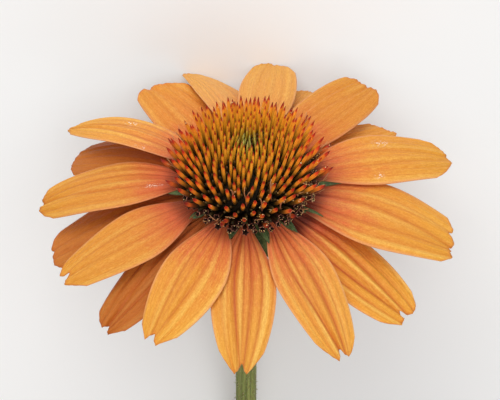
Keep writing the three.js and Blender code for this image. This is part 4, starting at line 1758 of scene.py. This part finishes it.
    def on_florets(self, rng: np.random.Generator) -> tuple[Array, Array, Array]:
        """Places for pollen on the lobes of the open florets.

        Args:
            rng: Where the places are drawn from.

        Returns:
            The grains' middles, the directions out of the lobes, and those across them.
        """
        azimuth, root, top, along, lobe = self.openings()
        weight = 0.15 + np.cos(azimuth - math.radians(self.sunny)).clip(0) ** 2
        chosen = rng.choice(len(azimuth), self.grains, p=weight / weight.sum())
        azimuth, root, top, along = azimuth[chosen], root[chosen], top[chosen], along[chosen]
        side = level(azimuth)
        face = around(along, side, rng.uniform(0, 2 * np.pi, self.grains))
        far = lobe[chosen] * rng.uniform(0.3, 0.75, self.grains)
        return root + 1.06 * (top - root) + 0.4 * along + face * far[:, None], along, side

    def pollen(self) -> Shape:
        """The pollen: round grains, half of them on the spines and half on the open florets.

        Returns:
            The grains as one shape.
        """
        rng = np.random.default_rng(31)
        spots = (self.on_spines(rng), self.on_florets(rng))
        middle, out, ahead = (np.vstack(pair) for pair in zip(*spots))
        count = len(middle)
        size = rng.uniform(0.07, 0.17, count) * np.repeat([1.35, 0.9], self.grains)
        rise = np.array([-1.0, -0.55, 0.55, 1.0])
        paths = middle[:, None] + out[:, None] * (rise[:, None] * size[:, None, None])
        radii = np.array([0.0, 0.83, 0.83, 0.0])[None, :, None] * size[:, None, None]
        tint = rng.uniform(0, 1, count)[:, None] * np.ones(len(rise))
        shape = rods(paths, np.repeat(radii, 5, -1), ahead, {"along": tint})
        return self.cone.head.place(shape)

    def build(self) -> list[Piece]:
        """Makes the buds, the open florets, the styles and the pollen.

        Returns:
            The pieces.
        """
        parts = (
            ("floret_buds", self.buds(), self.bud_finish),
            ("open_florets", self.stars(), self.open_finish),
            ("styles", self.style_rods(), self.style_finish),
            ("pollen", self.pollen(), self.grain_finish),
        )
        return [make_piece(name, shape, look.material()) for name, shape, look in parts]


@dataclass(frozen=True)
class Receptacle:
    """The green cup under the head, with the dark dome that carries the florets.

    Attributes:
        cup: The cup's outline from its foot up: distances from the axis, and heights.
    """

    head: HeadFrame = HeadFrame()
    dome: Dome = Dome()
    cup: Edge = (
        (3.3, -8.0), (4.3, -6.4), (6.6, -4.5), (9.6, -3.1), (12.0, -1.9), (12.2, 0.0), (12.2, 1.9),
    )
    cup_steps: int = 36
    dome_steps: int = 24
    sides: int = 64
    finish: PlainFinish = PlainFinish(
        "receptacle",
        ((0.0, srgb(104, 116, 58)), (0.5, srgb(86, 98, 48)), (0.6, srgb(44, 34, 16)),
         (1.0, srgb(40, 30, 12))),
        rough=(0.7, 0.9),
        scale=600.0,
    )

    def shape(self) -> Shape:
        """Turns the outline round the flower's axis.

        Returns:
            The closed shape, with a value "along" that is up to 0.5 on the cup and 1 on the dome.
        """
        cup = smooth_line(np.array(self.cup), self.cup_steps)
        radius, height = self.dome.profile(np.linspace(self.dome.edge - 4, 1, self.dome_steps))
        outline = np.vstack([[0, cup[0, 1]], cup, np.stack([radius, height], -1), [0, height[-1]]])
        line = np.zeros((1, len(outline), 3))
        line[0, :, 2] = outline[:, 1]
        radii = np.repeat(outline[None, :, :1], self.sides, -1)
        dome = np.ones(self.dome_steps + 1)
        along = np.concatenate([[0.0], np.linspace(0, 0.5, self.cup_steps), dome])[None]
        up, across = np.array([[0.0, 0.0, 1.0]]), np.array([[1.0, 0.0, 0.0]])
        return self.head.place(rods(line, radii, across, {"along": along}, up))

    def build(self) -> list[Piece]:
        """Makes the receptacle.

        Returns:
            Its one piece.
        """
        material = self.finish.material()
        nodes = ["receptacle"]
        return [make_piece("receptacle_cup", self.shape(), material, nodes)]


@dataclass(frozen=True)
class BractRow:
    """A row of bracts around the receptacle, in the head's frame.

    `turn` is the azimuth of the first. They start `root` from the axis, at `height`, and slope from
    `rise` at the base to `fall` at the tip.
    """

    node: str
    count: int
    turn: float
    root: float
    height: float
    length: float
    width: float
    rise: float
    fall: float


@dataclass(frozen=True)
class Bracts:
    """The small green leaves under the petals: two rows, and points between the petals' bases.

    Attributes:
        hold: How far it runs back into the receptacle.
        steps: Grid lines along and across it.
        tips: The azimuth and the reach of each point that shows between the petals.
    """

    head: HeadFrame = HeadFrame()
    thickness: float = 0.4
    hold: float = 1.2
    steps: tuple[int, int] = (22, 13)
    rows: tuple[BractRow, ...] = (
        BractRow("bract_inner", 13, 9, 12.2, -1.2, 8.8, 4.6, -12, -22),
        BractRow("bract_outer", 9, 20, 10, -3.6, 9.5, 4.4, -18, -50),
    )
    tips: tuple[Pair, ...] = (
        (152.7, 21.8), (188.5, 18.8), (219.3, 17.2), (257.7, 17.6), (286.2, 19.4), (308.2, 19.5),
        (330.3, 21.0), (1.0, 23.0),
    )
    finish: LeafFinish = LeafFinish(
        name="bract", top=srgb(50, 70, 34), fresh=srgb(78, 98, 48), below=srgb(92, 108, 64)
    )

    def shape(self, row: BractRow, number: int) -> Shape:
        """Works out one bract: a pointed blade with a keel and a slightly curled edge.

        Args:
            row: The row that it stands in.
            number: Its place in the row.

        Returns:
            The closed bract.
        """
        rng = np.random.default_rng(100 * row.count + number)
        heading = row.turn + 360 * number / row.count
        turn = math.radians(heading)
        blade = Blade(
            start=(row.root * math.cos(turn), row.root * math.sin(turn), row.height),
            heading=heading, length=row.length, width=row.width, rise=row.rise, fall=row.fall,
            claw=0.9, widest=0.2, tip=0.06, point=1.0, cup=0.2,
        )
        s, side = blade.grid(self.hold, self.steps)
        keel = -0.22 * bell(side / 0.22) * fade(s, 1.2, 0.2)
        curl = 0.12 * side * np.sin(4 * s + rng.uniform(0, 6))
        half = half_thickness(self.thickness, s, side, edge=(0.6, 4), tip=(0.6, 6))
        top = blade.surface(s, side, keel + curl + half)
        under = blade.surface(s, side, keel + curl - half)
        values = {"groove": 0.6 * bell(side / 0.16), "edge": fade(np.abs(side), 0.8, 1)}
        uv = np.stack([side * row.width / 2 + 9 * number, s * row.length], -1)
        return self.head.place(closed_sheet(top, under, values, uv))

    def build(self) -> list[Piece]:
        """Makes the bracts.

        Returns:
            One piece for each bract.
        """
        material = self.finish.material()
        pieces = []
        for row in self.rows:
            for number in range(row.count):
                name, node = f"{row.node}_leaf_{number + 1}", f"{row.node}_{number + 1}"
                shape = self.shape(row, number)
                pieces.append(make_piece(name, shape, material, [node]))
        for number, (turn, reach) in enumerate(self.tips, start=1):
            shape = self.shape(BractRow("", 1, turn, 13.4, 0.6, reach - 13, 2.3, 10, -6), number)
            pieces.append(make_piece(f"bract_tip_{number}", shape, material))
        return pieces


@dataclass(frozen=True)
class Stem:
    """The cut stem: it leaves the head along the flower's axis, bends down and lies level.

    Attributes:
        foot: How far below the head's middle, along the axis, it starts.
        ribs: Its coarse and its fine ribs: how many, half their depth, and how far they turn in a
            millimetre, in radians.
        joints: Where leaves grow, in millimetres from the head.
        steps: Rings along it, and faces around it.
        hair_outline: Places along a hair, and its radius there.
        cut_outline: The cut face's outline: radii, and heights over the stem's end.
    """

    head: HeadFrame = HeadFrame()
    radius: float = 2.9
    length: float = 200.0
    foot: float = 8.3
    ribs: tuple[Point, ...] = ((9, 0.11, 0.012), (23, 0.03, -0.02))
    joints: tuple[float, ...] = (104.0, 132.0, 166.0)
    steps: tuple[int, int] = (150, 54)
    hairs: int = 1500
    hair_length: Pair = (0.5, 1.15)
    hair_outline: Edge = ((0.0, 0.0), (0.02, 0.075), (0.6, 0.05), (1.0, 0.0))
    cut_outline: Edge = (
        (0.0, -0.4), (2.3, -0.4), (2.62, 0.02), (2.5, 0.1), (1.9, 0.16), (1.2, 0.1), (0.0, 0.12),
    )
    finish: StemFinish = StemFinish()
    hair_finish: PlainFinish = PlainFinish(
        "hair", ((0.0, srgb(176, 176, 120)), (1.0, srgb(226, 222, 190))), rough=(0.5, 0.6)
    )
    cut_finish: PlainFinish = PlainFinish(
        "stem_cut",
        ((0.0, srgb(214, 216, 176)), (0.55, srgb(198, 204, 150)), (0.75, srgb(150, 164, 92)),
         (1.0, srgb(110, 122, 58))),
        scale=2200.0,
    )

    def line(self, far: Array) -> tuple[Array, Array]:
        """The stem's middle line.

        It starts at the head's lean, follows a circle until it is level at its radius above the
        surface, and then runs straight.

        Args:
            far: Millimetres from the head.

        Returns:
            The points, and the directions along the stem.
        """
        lean = math.radians(self.head.elevation)
        start_y = self.head.at[1] + self.foot * math.cos(lean)
        start_z = self.head.at[2] - self.foot * math.sin(lean)
        bend = (start_z - self.radius) / (1 - math.cos(lean))
        bent = np.minimum(far, bend * lean)
        slope = lean - bent / bend
        y = start_y + bend * (math.sin(lean) - np.sin(slope)) + far - bent
        z = start_z - bend * (np.cos(slope) - math.cos(lean))
        points = np.stack([np.full_like(y, self.head.at[0]), y, z], -1)
        return points, np.stack([np.zeros_like(y), np.cos(slope), -np.sin(slope)], -1)

    def girth(self, far: Array, turn: Array) -> Array:
        """The stem's radius.

        It is ribbed, widest just under the head and slim below that, and swells at each leaf, but
        not on the underside where the stem lies.

        Args:
            far: Millimetres from the head.
            turn: Angles around the stem, in radians.

        Returns:
            The radius for each pair.
        """
        ribs = sum(deep * (np.cos(many * turn + twist * far) - 1) for many, deep, twist in self.ribs)
        neck = 0.35 * np.exp(-far / 5) - 0.25 * fade(far, 60, 0)
        swell = sum(0.28 * bell((far - joint) / 2.6) for joint in self.joints)
        lie = fade(far, 120, 150)
        return self.radius + ribs + neck + swell * (1 - lie * (np.sin(turn) < 0))

    def rod(self) -> Shape:
        """Carries the ribbed outline along the stem's line.

        It starts a little way back into the receptacle.

        Returns:
            The closed stem.
        """
        rings, sides = self.steps
        far = np.linspace(-0.8, self.length, rings)
        far = np.concatenate([far[:1], far, far[-1:]])
        points, ahead = self.line(far.clip(0))
        points = points + ahead * far.clip(None, 0)[:, None]
        turn = 2 * np.pi * np.arange(sides) / sides
        radii = self.girth(far[:, None].clip(0), turn[None])
        values = {"along": (far / self.length)[None]}
        shape = rods(points[None], radii[None], np.array([[-1.0, 0.0, 0.0]]), values)
        round_about = np.abs(turn - np.pi)[None] * self.radius
        uv = np.stack(np.broadcast_arrays(round_about, far[1:-1, None]), -1)
        shape.uv = np.vstack([uv.reshape(-1, 2), [0.0, far[0]], [0.0, far[-1]]])
        return shape

    def hair(self) -> Shape:
        """Stiff hairs: thin rods that stand out of the stem and lean a little.

        One that points down ends above the surface that the stem lies on, or is left out.

        Returns:
            The hairs as one shape.
        """
        rng = np.random.default_rng(77)
        far = rng.uniform(1, self.length - 1, self.hairs)
        turn = rng.uniform(0, 2 * np.pi, self.hairs)
        points, ahead = self.line(far)
        out = around(ahead, np.tile([-1.0, 0.0, 0.0], (self.hairs, 1)), turn)
        root = points + out * (self.girth(far, turn) - 0.1)[:, None]
        tall = rng.uniform(*self.hair_length, self.hairs)
        lean = unit(out + rng.normal(0, 0.28, (self.hairs, 3)))
        room = (root[:, 2] - 0.15) / np.maximum(-lean[:, 2], 1e-3)
        tall = np.where(lean[:, 2] < 0, np.minimum(tall, room), tall)
        keep = tall > 0.25
        root, lean, tall, ahead = root[keep], lean[keep], tall[keep], ahead[keep]
        t, girth = np.array(self.hair_outline).T
        paths = root[:, None] + lean[:, None] * (t[:, None] * tall[:, None, None])
        radii = np.broadcast_to(girth[None, :, None], (len(tall), len(t), 3))
        values = {"along": np.broadcast_to(t, (len(tall), len(t)))}
        return rods(paths, radii, ahead, values, lean)

    def cut(self) -> Shape:
        """The cut face: a low domed disc with a pale pith, closed behind.

        Returns:
            The closed disc.
        """
        points, ahead = self.line(np.array([self.length]))
        radius, rise = np.array(self.cut_outline).T
        line = points + ahead * rise[:, None]
        radii = np.repeat(radius[None, :, None], 40, -1)
        values = {"along": (radius / radius.max())[None]}
        return rods(line[None], radii, np.array([[1.0, 0.0, 0.0]]), values, ahead)

    def build(self) -> list[Piece]:
        """Makes the stem, its hairs and its cut face.

        Returns:
            The pieces.
        """
        hair, cut = self.hair_finish.material(), self.cut_finish.material()
        return [
            make_piece("stem_rod", self.rod(), self.finish.material(), ["stem"]),
            make_piece("stem_hairs", self.hair(), hair),
            make_piece("stem_cut", self.cut(), cut),
        ]


@dataclass(frozen=True)
class Leaf:
    """One leaf, which grows `along` from the head and starts `foot` from the stem's middle line.

    It sets off in its heading, which turns by `sweep`, and slopes from `rise` to `fall`.
    """

    node: str
    along: float
    length: float
    width: float
    heading: float
    sweep: float
    rise: float
    fall: float
    foot: float


@dataclass(frozen=True)
class Leaves:
    """The lance-shaped leaves of the stem.

    Attributes:
        hold: How far it runs back into the stem.
        steps: Grid lines along and across it.
        tooth: The room of one tooth along its edge.
        veins: The midrib and the long veins: where across the leaf, how deep, how wide and how
            pale.
    """

    stem: Stem = Stem()
    thickness: float = 0.5
    hold: float = 1.6
    steps: tuple[int, int] = (130, 61)
    tooth: float = 6.5
    veins: tuple[tuple[float, float, float, float], ...] = (
        (0.0, 0.5, 0.05, 1.0), (0.36, 0.28, 0.035, 0.7), (0.68, 0.2, 0.03, 0.7),
    )
    leaves: tuple[Leaf, ...] = (
        Leaf("leaf_1", 104, 34, 9, -58, 34, 1, -22, 3.6),
        Leaf("leaf_2", 132, 86, 24, -128, -40, 13, -17, 4.2),
        Leaf("leaf_3", 166, 78, 22, -50, 38, 14, -17.5, 4.1),
    )
    finish: LeafFinish = LeafFinish()

    def shape(self, leaf: Leaf, number: int) -> Shape:
        """Works out one leaf.

        The midrib and two veins on each side sink into the top by a bell curve, slanting veinlets
        quilt the fields between them, and the edge has low forward teeth: the half width grows by
        a saw wave along the leaf. The leaf narrows to a thick stalk at its base.

        Args:
            leaf: The leaf's sizes.
            number: Its place on the stem.

        Returns:
            The closed leaf.
        """
        rng = np.random.default_rng(40 + number)
        middle, _ = self.stem.line(np.array([leaf.along]))
        way = math.copysign(1.0, math.cos(math.radians(leaf.heading)))
        blade = Blade(
            start=tuple(middle[0] + np.array([way * leaf.foot, 0.0, 0.0])), heading=leaf.heading,
            length=leaf.length, width=leaf.width, rise=leaf.rise, fall=leaf.fall, sweep=leaf.sweep,
            claw=0.1, widest=0.42, tip=0.05, point=0.85, cup=0.16,
        )
        s, side = blade.grid(self.hold, self.steps)
        teeth, away = leaf.length / self.tooth, np.abs(side)
        tooth = 0.035 * ((s * teeth) % 1.0 - 0.5) * fade(s, 0.15, 0.35) * fade(s, 0.97, 0.87)
        spread = side * (1 + tooth * away**6)
        opened = fade(s, 0, 0.12)
        sink, vein = np.zeros_like(s), np.zeros_like(s)
        for place, depth, width, pale in self.veins:
            cut = bell((away - place) / width)
            sink = sink + depth * cut
            vein = np.maximum(vein, pale * cut)
        slant = np.sin(2 * np.pi * (teeth * 0.9 * s - 1.6 * away))
        quilt = 0.16 * slant * np.abs(np.sin(3 * np.pi * side))
        wave = 0.7 * np.sin(7 * s + rng.uniform(0, 6) + 2 * side) * away**3
        height = opened * (quilt + wave - sink) * fade(s, 1.02, 0.82)
        half = half_thickness(self.thickness, s, side, edge=(0.7, 6), tip=(0.6, 10))
        half = half + 0.5 * fade(s, 0.1, 0)
        rib = 0.45 * bell(side / 0.05) * (1 - s.clip(0, 1)) ** 0.5
        top = blade.surface(s, spread, height + half)
        under = blade.surface(s, spread, height - half - rib)
        values = {"groove": vein * opened + (1 - opened), "edge": fade(away, 0.93, 1)}
        uv = np.stack([side * blade.half_width(s) + 60 * number, s * leaf.length], -1)
        return closed_sheet(top, under, values, uv)

    def build(self) -> list[Piece]:
        """Makes the leaves.

        Returns:
            One piece for each leaf.
        """
        material = self.finish.material()
        pieces = []
        for number, leaf in enumerate(self.leaves):
            name, shape = f"{leaf.node}_blade", self.shape(leaf, number)
            pieces.append(make_piece(name, shape, material, [leaf.node]))
        return pieces


@dataclass(frozen=True)
class Softbox:
    """A soft square light: its place in metres, its side in metres, its power in watts, its colour."""

    name: str
    at: Point
    side: float
    power: float
    colour: Point


@dataclass(frozen=True)
class Studio:
    """A pale floor, soft lights and the camera, in metres, with its lens in millimetres.

    Attributes:
        shift: How far its picture is moved across and up, in shares of the picture.
        view: The direction from the head to the camera.
    """

    head: HeadFrame = HeadFrame()
    distance: float = 0.4
    lens: float = 117.5
    shift: Pair = (0.008, -0.026)
    view: Point = (0.0, -0.2924, 0.9563)
    floor_side: float = 6.0
    world: Colour = (0.96, 0.97, 1.0, 1.0)
    world_strength: float = 0.4
    lights: tuple[Softbox, ...] = (
        Softbox("key", (0.25, -1.05, 0.6), 1.0, 7.6, (1.0, 0.99, 0.96)),
        Softbox("top", (-0.1, -0.2, 1.1), 0.9, 3.6, (1.0, 1.0, 1.0)),
        Softbox("back", (-0.3, 0.5, 1.05), 0.8, 2.6, (0.96, 0.98, 1.0)),
    )

    def camera(self) -> None:
        """Stands the camera along `view` from the head, with the head's axis up in its picture."""
        lens = bpy.data.cameras.new("camera")
        lens.lens = self.lens
        lens.sensor_width = 36.0
        lens.shift_x, lens.shift_y = self.shift
        lens.clip_start, lens.clip_end = 0.01, 20.0
        back = Vector(self.view).normalized()
        right = Vector((-1.0, 0.0, 0.0))
        turn = Matrix((right, back.cross(right), back)).transposed()
        place = Vector(self.head.at) * MM + back * self.distance
        camera = add_object("camera", lens)
        camera.matrix_world = Matrix.Translation(place) @ turn.to_4x4()
        bpy.context.scene.camera = camera

    def softbox(self, box: Softbox) -> None:
        """Makes one light, which faces the flower's head and which the camera doesn't see.

        Args:
            box: The light's sizes.
        """
        light = bpy.data.lights.new(box.name, "AREA")
        light.shape = "SQUARE"
        light.size = box.side
        light.energy = box.power
        light.color = box.colour
        lamp = add_object(box.name, light)
        lamp.location = box.at
        aim = Vector(self.head.at) * MM - Vector(box.at)
        lamp.rotation_mode = "QUATERNION"
        lamp.rotation_quaternion = aim.to_track_quat("-Z", "Y")
        lamp.visible_camera = False

    def floor(self) -> None:
        """Makes the pale floor that the stem lies on."""
        half = self.floor_side / 2 / MM
        corners = np.array([[-half, -half, 0], [half, -half, 0], [half, half, 0], [-half, half, 0]])
        material, wiring, shader = Gloss(specular=0.2).shader("floor")
        haze = wiring.noise(wiring.place(), 3.0, 2.0)
        pale = wiring.mix(haze, srgb(246, 245, 243), srgb(248, 247, 245))
        wiring.feed(shader.inputs["Base Color"], pale)
        shader.inputs["Roughness"].default_value = 0.7
        mesh = Shape(corners, np.array([[0, 1, 2, 3]]), np.zeros((0, 3), int)).mesh("floor")
        mesh.materials.append(material)
        add_object("floor", mesh)

    def build(self) -> None:
        """Makes the camera, the floor, the lights and the even light of the room."""
        self.camera()
        self.floor()
        for box in self.lights:
            self.softbox(box)
        world = bpy.data.worlds.new("room")
        world.use_nodes = True
        background = world.node_tree.nodes["Background"]
        background.inputs["Color"].default_value = self.world
        background.inputs["Strength"].default_value = self.world_strength
        bpy.context.scene.world = world
        bpy.context.scene.view_settings.view_transform = "Standard"


def main() -> None:
    """Builds the studio and the parts in order."""
    logging.basicConfig(level=logging.INFO, format="%(message)s")
    Studio().build()
    for part in (Corolla(), SpineCone(), DiscFlorets(), Receptacle(), Bracts(), Stem(), Leaves()):
        for piece in part.build():
            LOG.info("%s: %d faces", piece.name, len(piece.data.polygons))


if __name__ == "__main__":
    main()
